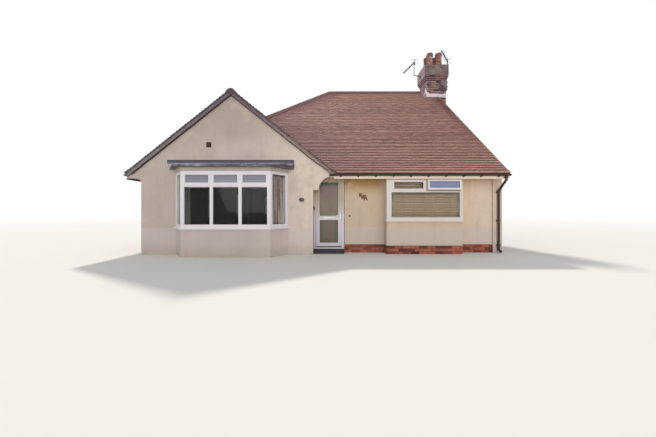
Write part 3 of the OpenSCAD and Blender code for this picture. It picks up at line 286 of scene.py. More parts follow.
def tile_material():
    """Worn clay: a tone for each tile, a painted highlight on the lower edges, and painted shade below
    the next course and on the butts.
    """
    k = Mat("roof_tile", 0.82)
    x, y, z = k.x, k.y, k.z
    tone, hue, run = k.attribute("tone"), k.attribute("hue"), k.attribute("run")
    k.colour = k.ramp(tone, (0.0, (106, 66, 60)), (0.35, (136, 90, 80)), (0.7, (152, 102, 90)),
                      (1.0, (174, 120, 104)))
    k.fade(hue, 0.86, 0.92, 0.3, (122, 86, 92))
    k.fade(hue, 0.14, 0.08, 0.35, (172, 114, 90))
    k.fade(z, 5.2, 6.6, 0.4, (168, 114, 92))
    # a purple cast by the valley, and a redder one by the hip
    wander = k.noise(1.3, 4) * 0.7
    valley = (x + y - (X_WING_EAVE - Y_EAVE) - wander).span(1.9, -0.3)
    hip = abs(x - (y + X_RIDGE)) - wander
    ahead = y.span(0.2, -0.1) * y.span(-3.3, -2.6)
    k.tint(ahead * hip.span(1.5, 0.3, 0, 0.5), (152, 98, 94))
    k.tint(ahead * hip.span(0.4, 0.0, 0, 0.8), (124, 74, 82))
    streak = k.noise(9, 4, 0.6, (0.12, 0.12, 1))
    k.fade(streak, 0.5, 0.72, 0.3, (112, 68, 68))
    k.fade(streak, 0.48, 0.3, 0.2, (190, 144, 132))
    broad = k.noise(0.5, 4, 0.6)
    k.fade(broad, 0.42, 0.66, 0.35, (130, 88, 86))
    k.fade(broad, 0.42, 0.3, 0.25, (168, 126, 112))
    fine = k.noise(60, 5, 0.7)
    k.fade(fine, 0.5, 0.8, 0.3, (176, 130, 116))
    rough_run = run + (k.noise(22, 3) - 0.5) * 0.3
    # painted highlight: the lower edge of each tile is paler
    k.fade(rough_run, 0.42, 0.2, 0.85, (228, 175, 160))
    # painted shade below the butt of the next course, strongest on the front slope
    k.tint(rough_run.span(0.45, 0.66) * y.span(0.5, -0.5, 0.7, 0.96), (40, 14, 21))
    # painted shade: the butt faces, marked by their hue, are made nearly black
    k.fade(hue, 1.5, 1.6, 0.95, (44, 22, 26))
    # whole tiles stand out from their neighbours; the roof darkens towards eaves and valley
    k.fade(tone, 0.55, 1.0, 0.45, (196, 144, 128))
    k.fade(tone, 0.45, 0.0, 0.55, (82, 46, 48))
    k.fade(z, 5.2, 6.5, 0.2, (206, 150, 126))
    k.fade(z, 4.6, 3.7, 0.2, (96, 46, 50))
    k.tint(valley * 0.55, (92, 50, 58))
    # painted shadow of the stack: a dark purple patch down the front slope below it
    stack_shadow_patch = (x - wander * 0.3).span(4.6, 4.78) * y.span(-0.3, -0.45) * y.span(-3.4, -1.6)
    k.tint(stack_shadow_patch * 0.6, (92, 50, 68))
    k.tint(ahead * hip.span(0.7, 0.1, 0, 0.65), (108, 46, 60))
    # the lowest courses get a pinker painted highlight on their lower edges, with deeper painted
    # shadows between them
    low = z.span(3.7, 2.5) * y.span(-1.0, -2.5)
    k.tint(low * rough_run.span(0.4, 0.2, 0, 0.35), (216, 160, 144))
    k.tint(low * rough_run.span(0.32, 0.48, 0, 0.97), (40, 8, 18))
    lichen = k.voronoi(38).span(0.14, 0.06) * k.noise(1.7, 4, 0.6).span(0.5, 0.72)
    k.tint(lichen * 0.5, (178, 170, 152))
    return k.done((90, 5, 0.7, 0.4, 0.002), (14, 3, 0.55, 0.25, 0.006),
                  rough=fine.span(0.3, 0.8, 0.72, 0.92))


def ridge_material():
    k = Mat("ridge_tile", 0.85)
    k.colour = k.ramp(k.noise(3.1, 6, 0.65), (0.25, (82, 62, 62)), (0.5, (102, 78, 78)),
                      (0.78, (126, 100, 96)))
    k.fade(k.noise(11, 5, 0.7), 0.55, 0.72, 0.5, (102, 92, 84))
    k.fade(k.voronoi(30), 0.16, 0.07, 0.4, (160, 150, 136))
    return k.done((70, 5, 0.7, 0.45, 0.003), (9, 4, 0.55, 0.3, 0.01))


MORTAR_RELIEF = (80, 5, 0.68, 0.5, 0.005), (11, 4, 0.55, 0.35, 0.01)


def rough_material(name, dark, light, scale=7, speck=None, rough=0.92, bump=0.5):
    """Mortar, stone, clay: two tones in clouds, finer specks, and a grainy relief."""
    k = Mat(name, rough)
    n = k.noise(scale, 6, 0.66)
    k.clouds(n, dark, light)
    if speck:
        k.fade(k.noise(45, 4, 0.7), 0.55, 0.75, 0.5, speck)
    grain, lumps = MORTAR_RELIEF
    return k.done((*grain[:3], bump, grain[4]), lumps,
                  rough=n.span(0.3, 0.8, rough - 0.06, rough + 0.05))


def patch_material():
    """Cement on the stack: mauve, and nearly black at its lower left."""
    k = Mat("stack_patch", 0.92)
    n = k.noise(9, 5, 0.66)
    k.clouds(n, (94, 78, 90), (138, 120, 130))
    low = n * 0.2 - (k.z - 6.86) - (k.x - 5.24)
    k.fade(low, 0.05, 0.2, 0.85, (72, 48, 66))
    return k.done(*MORTAR_RELIEF)


def verge_mortar_material():
    """Mauve-grey on the left rake, warmer and speckled on the right one."""
    k = Mat("verge_mortar", 0.92)
    n = k.noise(7, 6, 0.66)
    left = k.ramp(n, (0.3, (110, 101, 106)), (0.7, (138, 128, 131)))
    right = k.ramp(n, (0.3, (124, 108, 100)), (0.7, (160, 144, 130)))
    high = k.ramp(n, (0.3, (84, 70, 82)), (0.6, (108, 94, 104)), (0.75, (116, 112, 120)))
    k.colour = k.mix(k.x.span(X_WING_RIDGE + 0.6, X_WING_RIDGE + 2.0), left, right)
    k.fade(k.z, 3.1, 4.1, 0.8, high)
    k.fade(k.noise(34, 4, 0.7), 0.52, 0.66, 0.7, (92, 80, 78))
    return k.done(*MORTAR_RELIEF)


def verge_tile_material():
    """Edges of the verge tiles: grey-green with lichen, browner on the right rake."""
    k = Mat("verge_tile", 0.9)
    tone = k.attribute("tone")
    left = k.ramp(tone, (0.0, (66, 70, 72)), (0.5, (86, 90, 90)), (1.0, (112, 112, 108)))
    right = k.ramp(tone, (0.0, (92, 72, 76)), (0.5, (118, 98, 98)), (1.0, (146, 128, 122)))
    k.colour = k.mix(k.x > X_WING_RIDGE, left, right)
    k.fade(k.z, 3.1, 4.2, 0.7, (70, 74, 84))
    k.fade(k.noise(40, 5, 0.7), 0.5, 0.75, 0.5, (136, 132, 122))
    return k.done((70, 5, 0.7, 0.5, 0.004))


def paint_material(name, colour, dirt, rough=0.5, amount=0.3, grain=0.15):
    k = Mat(name, rough)
    n = k.noise(4.5, 5, 0.6)
    k.colour = k.mix(n.span(0.35, 0.8, 0, amount), colour, dirt)
    k.fade(k.noise(3, 5, 0.6, (5, 5, 0.5)), 0.55, 0.8, amount, dirt)
    k.relief(k.noise(30, 4, 0.6, (0.3, 6, 6)), grain, 0.002)
    return k.done(rough=n.span(0.3, 0.8, rough - 0.08, rough + 0.12))


def pvc_material(name, colour, dirt=(198, 194, 190), shade=None):
    """White plastic frames; shade is the colour of painted shade on the door's upper part."""
    k = Mat(name, 0.34)
    x, z = k.x, k.z
    n = k.noise(6, 4, 0.6)
    k.colour = k.mix(n.span(0.4, 0.8, 0, 0.3), colour, dirt)
    k.fade(k.noise(26, 4, 0.7), 0.62, 0.8, 0.3, (190, 186, 178))
    # the box window is warmer, and its head gets painted shade from the eaves
    box = x.span(1.0, 1.5)
    k.tint(box * 0.7, (206, 196, 184))
    k.tint(box * z.span(2.045, 2.06) * 0.85, (180, 158, 134))
    if shade:
        # painted shade: the left jamb is bluish lower down, beside the return wall, and the door turns
        # to the shade colour upward
        k.tint(x.span(-0.2, -0.28) * z.span(1.4, 1.0) * 0.6, (172, 170, 188))
        k.fade(z, 0.95, 1.5, 0.85, shade)
        k.fade(z, 0.3, 0.1, 0.4, (176, 170, 160))
    return k.done((220, 3, 0.55, 0.05, 0.0006), rough=n.span(0.3, 0.8, 0.28, 0.44))


def plastic_material(name, colour, rough=0.4):
    k = Mat(name, rough)
    n = k.noise(8, 5, 0.65)
    k.colour = k.mix(n.span(0.4, 0.8, 0, 0.5), colour, [min(255, c + 26) for c in colour])
    return k.done((150, 3, 0.55, 0.08, 0.001), rough=n.span(0.3, 0.8, rough - 0.05, rough + 0.2))


def glass_material(name, milky_high=None, milky_low=None, where=None):
    """Glass that lets the lamps through. The panes that where picks out are made milky, with one
    colour in their upper part and one in their lower; on the box window's vent they are a painted
    reflection."""
    k = Mat(name, 0.0, IOR=1.22)
    k.colour = (247, 248, 247)
    if where:
        there = where(k)
        rise = k.z + k.noise(3, 3) * 0.04
        k.tint(there, k.mix(rise.span(2.0, 2.03), milky_low, milky_high))
        k.set(Transmission_Weight=there.span(0, 1, 1.0, 0.25))
    else:
        k.set(Transmission_Weight=1.0)
    clear = k.node("ShaderNodeBsdfTransparent", (226, 232, 232))
    shadow = k.node("ShaderNodeLightPath").outputs["Is Shadow Ray"]
    mix_shaders(k.nt, shadow, k.bsdf.outputs[0], clear.outputs[0],
                k.nt.nodes["Material Output"].inputs["Surface"])
    return k.done((3.2, 2, 0.55, 0.02, 0.01))


def obscure_material():
    """Patterned door glass: hammered, warm grey, greener and darker in the lower pane, with a painted
    shadow along its top.
    """
    k = Mat("obscure_glass", 0.3, IOR=1.45)
    z = k.z
    n = k.noise(2.6, 4, 0.6)
    k.clouds(n, (108, 94, 80), (124, 108, 92))
    k.fade(z, 1.45, 1.8, 0.8, (112, 94, 92))
    k.tint(z < 1.0, (102, 90, 76))
    rim = (abs(k.x - X_LEAF) + n * 0.1).span(0.2, 0.32)
    k.tint(rim * z.span(1.3, 0.8, 0, 0.8), (62, 66, 50))
    # painted shadow of the frame's head along the top of the upper pane
    k.tint((z + n * 0.08).span(1.93, 2.0, 0, 0.9), (58, 48, 42))
    k.fade(z, 0.42, 0.27, 0.7, (70, 68, 56))
    k.relief(k.voronoi(95, "SMOOTH_F1"), 0.5, 0.003)
    return k.done()


def lead_material(name, dark, light, rough=0.5, metal=0.3, edge=None):
    """Lead in sheets, with a worn part left of x = edge."""
    k = Mat(name, rough, Metallic=metal)
    n = k.noise(2.7, 6, 0.65)
    k.colour = k.mix(n.span(0.3, 0.75), dark, light)
    k.fade(k.noise(4, 5, 0.65, (4, 4, 0.6)), 0.5, 0.8, 0.5, dark)
    if edge:
        worn = k.mix(n, (122, 98, 104), (160, 136, 142))
        k.tint(k.x.span(edge + 0.005, edge - 0.005, 0, 0.9), worn)
    return k.done((7, 4, 0.6, 0.35, 0.012), (60, 4, 0.55, 0.15, 0.002),
                  rough=n.span(0.3, 0.8, rough - 0.1, rough + 0.15))


def bay_lead_material():
    """Lead on the bay: run says the row, from the dark top strip down to the dark drip."""
    k = Mat("bay_lead", 0.55, Metallic=0.1)
    run = k.attribute("run")
    row = run + (k.noise(3.2, 5, 0.65, (0.6, 0.6, 3)) - 0.5) * 0.24
    k.colour = k.ramp(row, (0.0, (62, 58, 72)), (0.2, (70, 68, 82)), (0.32, (122, 120, 132)),
                      (0.6, (150, 148, 158)), (0.74, (78, 72, 76)), (1.0, (58, 52, 54)))
    pale = k.noise(7, 5, 0.65, (0.5, 0.5, 2)).span(0.5, 0.66, 0, 0.7)
    k.tint(pale * run.span(0.2, 0.5), (176, 172, 176))
    k.tint(k.x.span(-4.1, -4.16) * run.span(0.62, 0.7) * 0.85, (184, 180, 174))
    return k.done((9, 4, 0.6, 0.35, 0.008), (60, 4, 0.55, 0.15, 0.002))


def brick_material(name, tones, soot=(86, 74, 70), amount=0.5, left=None, marks=(), stained=0.9):
    """Faces of bricks: a tone for each brick from its own attribute; left is a paler colour laid on
    faces turned to -x as painted light. Each mark is a discoloured patch with its place in x and z,
    its half width and height, and its colour."""
    k = Mat(name, 0.88)
    k.colour = k.ramp(k.attribute("tone"), *[(i / (len(tones) - 1), c) for i, c in enumerate(tones)])
    k.fade(k.noise(35, 5, 0.7), 0.4, 0.75, 0.4, tones[0])
    k.fade(k.noise(3, 5, 0.65), 0.48, 0.75, amount, soot)
    # painted light: faces turned to -x are made paler, as if lit from that side
    if left:
        facing = k.parts(k.node("ShaderNodeNewGeometry").outputs["Normal"])[0]
        k.fade(facing, -0.5, -0.6, 0.7, left)
    for x, z, w, h, colour in marks:
        size = (abs(k.x - x) * (1 / w)).math("MAXIMUM", abs(k.z - z) * (1 / h))
        k.tint((size + k.noise(19, 3) * 0.8).span(1.6, 1.1, 0, stained), colour)
    return k.done((120, 5, 0.75, 0.5, 0.004), (22, 4, 0.55, 0.3, 0.008))


def pot_material():
    """Terracotta, sooty towards the top."""
    k = Mat("terracotta", 0.86)
    n = k.noise(6, 6, 0.62)
    k.clouds(n, (138, 92, 88), (176, 128, 118))
    k.tint((k.z.span(7.95, 8.36) + (n - 0.5)).span(0.1, 0.9, 0, 0.75), (98, 74, 70))
    mottle = k.noise(17, 3, 0.6, (1, 1, 0.5))
    k.fade(mottle, 0.52, 0.6, 0.65, (66, 38, 42))
    k.fade(mottle, 0.42, 0.36, 0.5, (214, 180, 172))
    return k.done((70, 5, 0.68, 0.4, 0.003))


def cloth_material(name, a, b, through=0.0, fold_shading=None):
    """Woven cloth in two tones; where they are given, a darker and a paler vertical streak are painted
    shade and painted highlight for the light on its folds.
    """
    k = Mat(name, 0.9, Sheen_Weight=0.25)
    k.clouds(k.noise(14, 5, 0.6), a, b)
    if fold_shading:
        across = k.noise(26, 2, 0.5, (1, 1, 0.02))
        k.fade(across, 0.48, 0.42, 0.85, fold_shading[0])
        k.fade(across, 0.54, 0.6, 0.85, fold_shading[1])
    net = 1
    for direction in "ZX":
        threads = k.node("ShaderNodeTexWave", k.at, Scale=THREADS)
        threads.bands_direction = direction
        net = Value(k, threads.outputs["Fac"]) * net
    k.tint(net * 0.25, a)
    k.relief(net, 0.3, 0.0008)
    if through:
        k.set(Alpha=1 - through)
    return k.done()


def metal_material(name, colour, rough=0.4, grime=0.4, metal=0.85):
    k = Mat(name, rough, Metallic=metal)
    n = k.noise(16, 5, 0.65)
    k.colour = k.mix(n.span(0.45, 0.8, 0, grime), colour, (96, 92, 88))
    return k.done((180, 3, 0.55, 0.1, 0.0008), rough=n.span(0.3, 0.8, rough - 0.1, rough + 0.2))


RENDER = render_material()
TILE = tile_material()
UNDER = rough_material("tile_underlay", (66, 44, 44), (88, 62, 60), 9)
RIDGE = ridge_material()
VERGE_TILE = verge_tile_material()
MORTAR = verge_mortar_material()
BEDDING = rough_material("ridge_mortar", (98, 72, 74), (128, 98, 96), 7, (82, 64, 66))
SLIP = rough_material("verge_undercloak", (52, 36, 38), (78, 58, 58), 12)
PLUG = rough_material("ridge_end_clay", (66, 66, 78), (92, 90, 102), 12)
JOINT = rough_material("brick_mortar", (120, 114, 108), (154, 146, 138), 7, (96, 90, 84))
STACK_JOINT = rough_material("stack_mortar", (58, 42, 50), (90, 76, 80), 5, (48, 36, 44))
CREAM = paint_material("cream_paint", (240, 221, 200), (214, 194, 166), amount=0.25)
STONE = paint_material("bay_head_paint", (178, 168, 158), (142, 130, 120), amount=0.4)
WHITE = pvc_material("white_pvc", (218, 215, 220))
# painted shade: the door is tan towards its top
DOOR_WHITE = pvc_material("door_pvc", (206, 202, 210), shade=(172, 154, 126))
BACK_PVC = pvc_material("back_door_pvc", (226, 226, 224))
BLACK = plastic_material("black_plastic", (34, 32, 34))
GUTTER = plastic_material("gutter_plastic", (46, 34, 28))
RUBBER = plastic_material("window_gasket", (40, 38, 42), 0.6)
CLEAR = glass_material("clear_glass")
BAY_GLASS = glass_material("bay_glass", (146, 145, 156), (158, 157, 168),
                           lambda k: (k.z > 1.86) * (k.y < -6.0))
# painted reflection on the tilted vent: dark at its top, sky blue below
BOX_GLASS = glass_material("box_glass", (92, 84, 90), (138, 146, 184),
                           lambda k: (k.z > 1.76) * (k.x > 2.8))
OBSCURE = obscure_material()
LEAD = lead_material("lead_sheet", (176, 168, 182), (230, 222, 232), 0.6, 0.05, X_STACK - STACK_R)
FELT = lead_material("bay_roof_lead", (78, 74, 84), (104, 102, 112), 0.5, 0.1)
BAY_LEAD = bay_lead_material()
STEP = rough_material("step_tile", (34, 26, 30), (52, 42, 46), 6, rough=0.7, bump=0.2)
# (196, 176, 180) and (196, 178, 182) below are painted light on the bricks' faces turned to -x
STACK_BRICK = brick_material(
    "stack_brick", [(66, 42, 52), (116, 86, 92), (140, 106, 104), (152, 130, 108), (166, 146, 116),
                    (144, 92, 92)], (84, 66, 76), 0.6, (196, 176, 180),
    ((4.5, 6.8, 0.06, 0.2, (176, 154, 160)), (4.575, 6.885, 0.06, 0.05, (58, 22, 38)),
     (4.66, 6.96, 0.05, 0.03, (120, 58, 70)), (5.09, 6.68, 0.05, 0.045, (34, 16, 30))))
HEAD_BRICK = brick_material(
    "head_brick", [(104, 86, 88), (126, 106, 104), (138, 120, 112), (118, 96, 100)], (80, 62, 74),
    0.5, (196, 178, 182),
    ((4.83, 7.4, 0.3, 0.1, (132, 124, 108)), (5.33, 7.35, 0.12, 0.12, (84, 66, 78)),
     (4.62, 7.33, 0.07, 0.05, (70, 66, 58))), 0.45)
PARTY_BRICK = brick_material("party_brick", [(128, 92, 82), (144, 106, 92), (156, 118, 102),
                                             (136, 100, 90), (118, 86, 80)])
PLINTH_BRICK = brick_material("plinth_brick", [(66, 30, 32), (128, 58, 46), (178, 104, 78),
                                               (88, 40, 38)], (56, 34, 34), 0.6)
PLINTH_JOINT = rough_material("plinth_mortar", (76, 50, 48), (104, 74, 66), 9)
PATCH = patch_material()
# the fillet is pale cement, made paler still as painted light for its side turned away from the lamps
FILLET = rough_material("stack_fillet", (212, 192, 196), (244, 230, 232), 6, (176, 154, 158))
POT = pot_material()
FLOOR = rough_material("floor_screed", (52, 44, 38), (68, 60, 52), 3)
# painted shade: the ceiling is kept dark grey, as the closed rooms get little light
SHADED_PLASTER = rough_material("plaster", (88, 82, 76), (100, 94, 86), 3, bump=0.15)
ALU = metal_material("aerial_metal", (60, 60, 60), 0.5, metal=0.1)
HANDLE = metal_material("handle_metal", (186, 184, 182), 0.32, 0.2)
BRONZE = metal_material("rust_bronze", (112, 68, 34), 0.6, 0.15, 0.1)
TRIM = plastic_material("dark_trim", (66, 54, 50), 0.45)
# painted shade: near-black paint for the board under the gable's left foot
KNEELER_SHADE = paint_material("kneeler_shade_paint", (26, 20, 17), (44, 34, 28), 0.7, 0.6)
VENT = rough_material("vent_clay", (70, 50, 42), (92, 68, 58), 20)
# painted shade and painted highlight of the folds: the darker and paler streak colours
CURTAIN = cloth_material("curtain_cloth", (118, 102, 98), (154, 138, 134),
                         fold_shading=((78, 62, 60), (196, 182, 184)))
NET = cloth_material("net_cloth", (200, 200, 206), (226, 226, 230), through=0.2)
SLAT = plastic_material("blind_slat", (190, 164, 126), 0.5)

SLOT_OF = {material: slot for slot, materials in {
    "roof_tile": (TILE, VERGE_TILE, SLIP), "ridge_tile": (BEDDING, PLUG),
    "lead": (FELT, LEAD, BAY_LEAD, FILLET), "dark_trim": (TRIM, KNEELER_SHADE),
    "party_brick": (PARTY_BRICK, PLINTH_BRICK, PLINTH_JOINT),
    "chimney_brick": (STACK_BRICK, HEAD_BRICK, PATCH),
    "white_plastic": (WHITE, DOOR_WHITE, BACK_PVC, SLAT), "black_plastic": (RUBBER, BLACK, GUTTER),
    "handle_metal": (HANDLE,), "bronze": (BRONZE,),
}.items() for material in materials}

for material, names in {
    RENDER: """gable_wall wing_return_wall front_wall_middle front_wall_right front_wall_top
        left_side_wall rear_wall bay_wall box_window_wall""",
    JOINT: "party_wall chimney_breast",
    STACK_JOINT: "chimney_shaft chimney_head",
    UNDER: "roof_front_slope roof_rear_slope roof_hip_end wing_left_slope wing_right_slope",
    RIDGE: "ridge_tiles hip_tiles wing_ridge_tiles",
    MORTAR: "gable_verge",
    CREAM: "front_eaves side_eaves rear_eaves",
    STONE: "bay_head",
    GUTTER: "front_gutter side_gutter rear_gutter front_downpipe rear_downpipe",
    BLACK: "doorbell",
    WHITE: """bay_window_frame box_window_frame box_window_vent rear_window_frames
        side_window_frames""",
    DOOR_WHITE: "door_frame front_door",
    BACK_PVC: "back_door",
    CLEAR: "rear_window_glass side_window_glass",
    BAY_GLASS: "bay_window_glass",
    BOX_GLASS: "box_window_glass",
    OBSCURE: "front_door_glass",
    FELT: "bay_roof",
    LEAD: "chimney_flashing",
    POT: "chimney_pots",
    STEP: "door_step",
    FLOOR: "floor_slab",
    SHADED_PLASTER: "ceiling",
    ALU: "tv_aerials",
    HANDLE: "front_door_handle",
    BRONZE: "wall_ornament",
    TRIM: "wall_plaque",
    VENT: "air_vent",
}.items():
    for name in names.split():
        mesh = frame["nodes"][name].data
        mesh.materials.clear()
        mesh.materials.append(material)


class Build:
    """Collects vertices with a run each, and faces with a tone and a hue each."""

    def __init__(self):
        self.v, self.f, self.tone, self.hue, self.run = [], [], [], [], []

    def add(self, points, faces, tone=0.5, hue=0.5, run=None):
        at = len(self.v)
        self.v.extend(points)
        self.run.extend(run or [0.5] * len(points))
        self.f.extend([at + i for i in face] for face in faces)
        self.tone.extend([tone] * len(faces))
        self.hue.extend([hue] * len(faces))

    def box(self, a, b, tone=0.5, place=None):
        x0, y0, z0 = a
        x1, y1, z1 = b
        corners = [(x0, y0), (x1, y0), (x1, y1), (x0, y1)]
        points = [(x, y, z) for z in (z0, z1) for x, y in corners]
        if place:
            points = [place(*p) for p in points]
        self.prism(points[:4], points[4:], tone)

    def prism(self, low, high, tone=0.5, hue=0.5, run=None):
        """Closed prism between two outlines with the same number of points, wound to the left
        as seen from high."""
        n = len(low)
        faces = [tuple(range(n - 1, -1, -1)), tuple(range(n, 2 * n))]
        faces += [(i, (i + 1) % n, n + (i + 1) % n, n + i) for i in range(n)]
        self.add(list(low) + list(high), faces, tone, hue, run)

    def sweep(self, rings, closed=False, tone=0.5, runs=None):
        """Skin through rings of points, capped at both ends where the rings are closed."""
        n = len(rings[0])
        points = [p for ring in rings for p in ring]
        faces = [(r * n + i, r * n + (i + 1) % n, (r + 1) * n + (i + 1) % n, (r + 1) * n + i)
                 for r in range(len(rings) - 1) for i in range(n if closed else n - 1)]
        if closed:
            faces += [tuple(range(n - 1, -1, -1)), tuple(range(len(points) - n, len(points)))]
        self.add(points, faces, tone, run=runs and runs * len(rings))

    def piece(self, name, material, body="house", smooth=False, thick=0, offset=-1):
        mesh = bpy.data.meshes.new(name)
        mesh.from_pydata([tuple(p) for p in self.v], [], self.f)
        mesh.materials.append(material)
        for label, values in (("tone", self.tone), ("hue", self.hue)):
            mesh.attributes.new(label, "FLOAT", "FACE").data.foreach_set("value", values)
        mesh.attributes.new("run", "FLOAT", "POINT").data.foreach_set("value", self.run)
        mesh.validate()
        if smooth:
            mesh.shade_smooth()
        ob = show(bpy.data.objects.new(name, mesh))
        if thick:
            solid = ob.modifiers.new("thickness", "SOLIDIFY")
            solid.thickness, solid.offset = thick, offset
        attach(ob, body)
        material in SLOT_OF
        return ob


def clip(points, outline):
    """The part of a convex polygon inside a convex outline, both wound to the left."""
    for i, (ax, ay) in enumerate(outline):
        bx, by = outline[(i + 1) % len(outline)]
        nx, ny = ay - by, bx - ax
        kept = []
        for p, q in zip(points, points[1:] + points[:1]):
            dp = (p[0] - ax) * nx + (p[1] - ay) * ny
            dq = (q[0] - ax) * nx + (q[1] - ay) * ny
            if dp >= 0:
                kept.append(p)
            if (dp > 0) != (dq > 0) and abs(dp - dq) > 1e-12:
                t = dp / (dp - dq)
                kept.append((p[0] + t * (q[0] - p[0]), p[1] + t * (q[1] - p[1])))
        points = kept
        if len(points) < 3:
            return []
    return points


def area(points):
    return 0.5 * sum(p[0] * q[1] - q[0] * p[1] for p, q in zip(points, points[1:] + points[:1]))


def rectangle(a0, a1, z0, z1):
    return [(a0, z0), (a1, z0), (a1, z1), (a0, z1)]


# Roof tiles
class Slope:
    """A roof plane: a runs along the eave, s up the slope, h out of it."""

    def __init__(self, origin, along, inward):
        self.o, self.a, self.i = Vector(origin), Vector(along), Vector(inward)
        self.up = self.i * CP + Z * SP
        self.n = -self.i * SP + Z * CP

    def at(self, a, s, h):
        return self.o + self.a * a + self.up * s + self.n * h + Z * EAVE_Z

    def plan(self, x, y):
        d = Vector((x, y, 0)) - self.o
        return (d.dot(self.a), d.dot(self.i) / CP)


FRONT = Slope((0, -Y_EAVE, 0), (1, 0, 0), (0, 1, 0))
REAR = Slope((0, Y_EAVE, 0), (-1, 0, 0), (0, -1, 0))
LEFT = Slope((X_EAVE, 0, 0), (0, -1, 0), (1, 0, 0))
RIGHT = Slope((X_WING_EAVE, 0, 0), (0, 1, 0), (-1, 0, 0))
TILE_W, TILE_T, TILE_GAP, TILE_CROWN, TILE_LAP = 0.165, 0.012, 0.003, 0.003, 0.015
S_EAVE = -TILE_OVER / CP
SCALLOP, EAVE_KICK, KICK_RUN = 0.005, 0.022, 0.25
BUTT_SHADE = 2.0
SLIVER = 0.0004


def lay_tiles(name, slope, plan, start, skip=None):
    """Plain tiles in half bond on a slope, cut to its outline in plan."""
    b = Build()
    outline = [slope.plan(x, y) for x, y in plan]
    if area(outline) < 0:
        outline.reverse()
    a_lo, a_hi = min(p[0] for p in outline), max(p[0] for p in outline)
    s_hi = max(p[1] for p in outline)
    course = 0
    while course * GAUGE + S_EAVE <= s_hi:
        s0 = course * GAUGE + S_EAVE
        shift = start + (course % 2) * TILE_W / 2
        first = math.floor((a_lo - shift) / TILE_W) - 1
        last = math.ceil((a_hi - shift) / TILE_W) + 1
        for i in range(first, last):
            rnd = random.Random(hash((round(slope.n.x, 2), round(slope.n.y, 2), course, i)))
            tone, hue = rnd.gauss(0.5, 0.12), rnd.random()
            lift = rnd.uniform(-0.001, 0.003)
            tilt = rnd.uniform(-0.0022, 0.0022)
            camber = rnd.uniform(0.001, 0.003)
            a0 = shift + i * TILE_W
            a1 = a0 + TILE_W - TILE_GAP
            am = (a0 + a1) / 2
            # broad bands of darker and paler courses, in lines that waver
            band = math.sin(course * 2.4 + 0.9 * math.sin(a0 * 0.5 + course * 0.37))
            tone += (0.1 + 0.005 * min(course, 34)) * band
            wave = 0.004 * math.sin(a0 * 1.1 + course * 0.45) * math.sin(course * 0.9)
            lo = s0 - 0.003 + wave + rnd.uniform(-0.005, 0.003)
            hi = s0 + GAUGE + TILE_LAP
            quad = rectangle(a0, a1, lo, hi)
            cut = clip(quad, outline)
            if not cut or area(cut) < SLIVER:
                continue
            if skip and skip(slope.at(am, (lo + hi) / 2, 0)):
                continue

            def top(a, s):
                across = 2 * (a - am) / TILE_W
                kick = EAVE_KICK * max(0, 1 - (s - S_EAVE) / KICK_RUN)
                return (BUTT + TILE_CROWN + lift - BUTT / GAUGE * (s - s0) + tilt * across
                        + camber * (1 - across * across) + kick)

            thick = TILE_T + (EAVE_KICK if course == 0 else 0)
            whole = len(cut) == 4 and abs(area(cut) - area(quad)) < 1e-7
            if whole:
                cut = [(a, s - SCALLOP * (a == am)) for s in (lo, hi) for a in (a0, am, a1)]
            up = [slope.at(a, s, top(a, s)) for a, s in cut]
            down = [slope.at(a, s, top(a, s) - thick) for a, s in cut]
            run = [(s - s0) / GAUGE for a, s in cut] * 2
            if whole:
                b.add(up + down,
                      [(0, 1, 4, 3), (1, 2, 5, 4), (7, 6, 9, 10), (8, 7, 10, 11),
                       (10, 9, 3, 4), (11, 10, 4, 5), (9, 6, 0, 3), (8, 11, 5, 2)],
                      tone, hue, run)
                at = len(b.v) - len(up + down)
                # the butt faces get a hue that the material paints dark as painted shade
                for face in ((6, 7, 1, 0), (7, 8, 2, 1)):
                    b.f.append([at + j for j in face])
                    b.tone.append(tone)
                    b.hue.append(BUTT_SHADE)
            else:
                b.prism(down, up, tone, hue, run)
        course += 1
    return b.piece(name, TILE)


def in_stack(p):
    return max(abs(p.x - X_STACK), abs(p.y)) < STACK_R - 0.02


def roof_tiles():
    over, verge, gap = TILE_OVER, VERGE_OVER - 0.012, 0.02
    left, front, rear = X_EAVE - over, -Y_EAVE - verge, Y_EAVE + over
    lay_tiles("tiles_front_slope", FRONT,
              [(X_WING_EAVE + over + gap, -rear), (X_PARTY, -rear), (X_PARTY, 0), (X_RIDGE, 0),
               (X_WING_RIDGE + gap / 2, Y_VALLEY + gap / 2)], X_PARTY, in_stack)
    lay_tiles("tiles_rear_slope", REAR,
              [(left, rear), (X_RIDGE, 0), (X_PARTY, 0), (X_PARTY, rear)], -X_PARTY, in_stack)
    lay_tiles("tiles_hip_end", LEFT,
              [(left, Y_VALLEY), (X_WING_RIDGE, Y_VALLEY), (X_RIDGE, 0), (left, rear)], -front)
    lay_tiles("tiles_wing_left", LEFT,
              [(left, front), (X_WING_RIDGE, front), (X_WING_RIDGE, Y_VALLEY), (left, Y_VALLEY)],
              -front)
    lay_tiles("tiles_wing_right", RIGHT,
              [(X_WING_RIDGE, front), (X_WING_EAVE + verge - gap, front),
               (X_WING_RIDGE, Y_VALLEY - gap)], front)


roof_tiles()


# Lead, mortar and slips where the slopes end
EDGE_LAYERS, EDGE_PITCH, EDGE_STEP, EDGE_T = 3, 0.018, 0.006, 0.0135
Y_VERGE = -Y_EAVE - VERGE_OVER


def swept(name, material, rings, closed=True, runs=None, **finish):
    b = Build()
    b.sweep(rings, closed, runs=runs)
    return b.piece(name, material, **finish)


def turned(b, x, z, r0, r1, y0, y1, angle, steps, tone=0.5):
    """A ring round an axis along Y, with a rectangle from r0 to r1 as its section."""
    section = ((r0, y0), (r1, y0), (r1, y1), (r0, y1))
    turns = [angle * i / steps for i in range(steps + 1)]
    b.sweep([[(x + math.cos(t) * r, y, z + math.sin(t) * r) for r, y in section] for t in turns],
            closed=True, tone=tone)


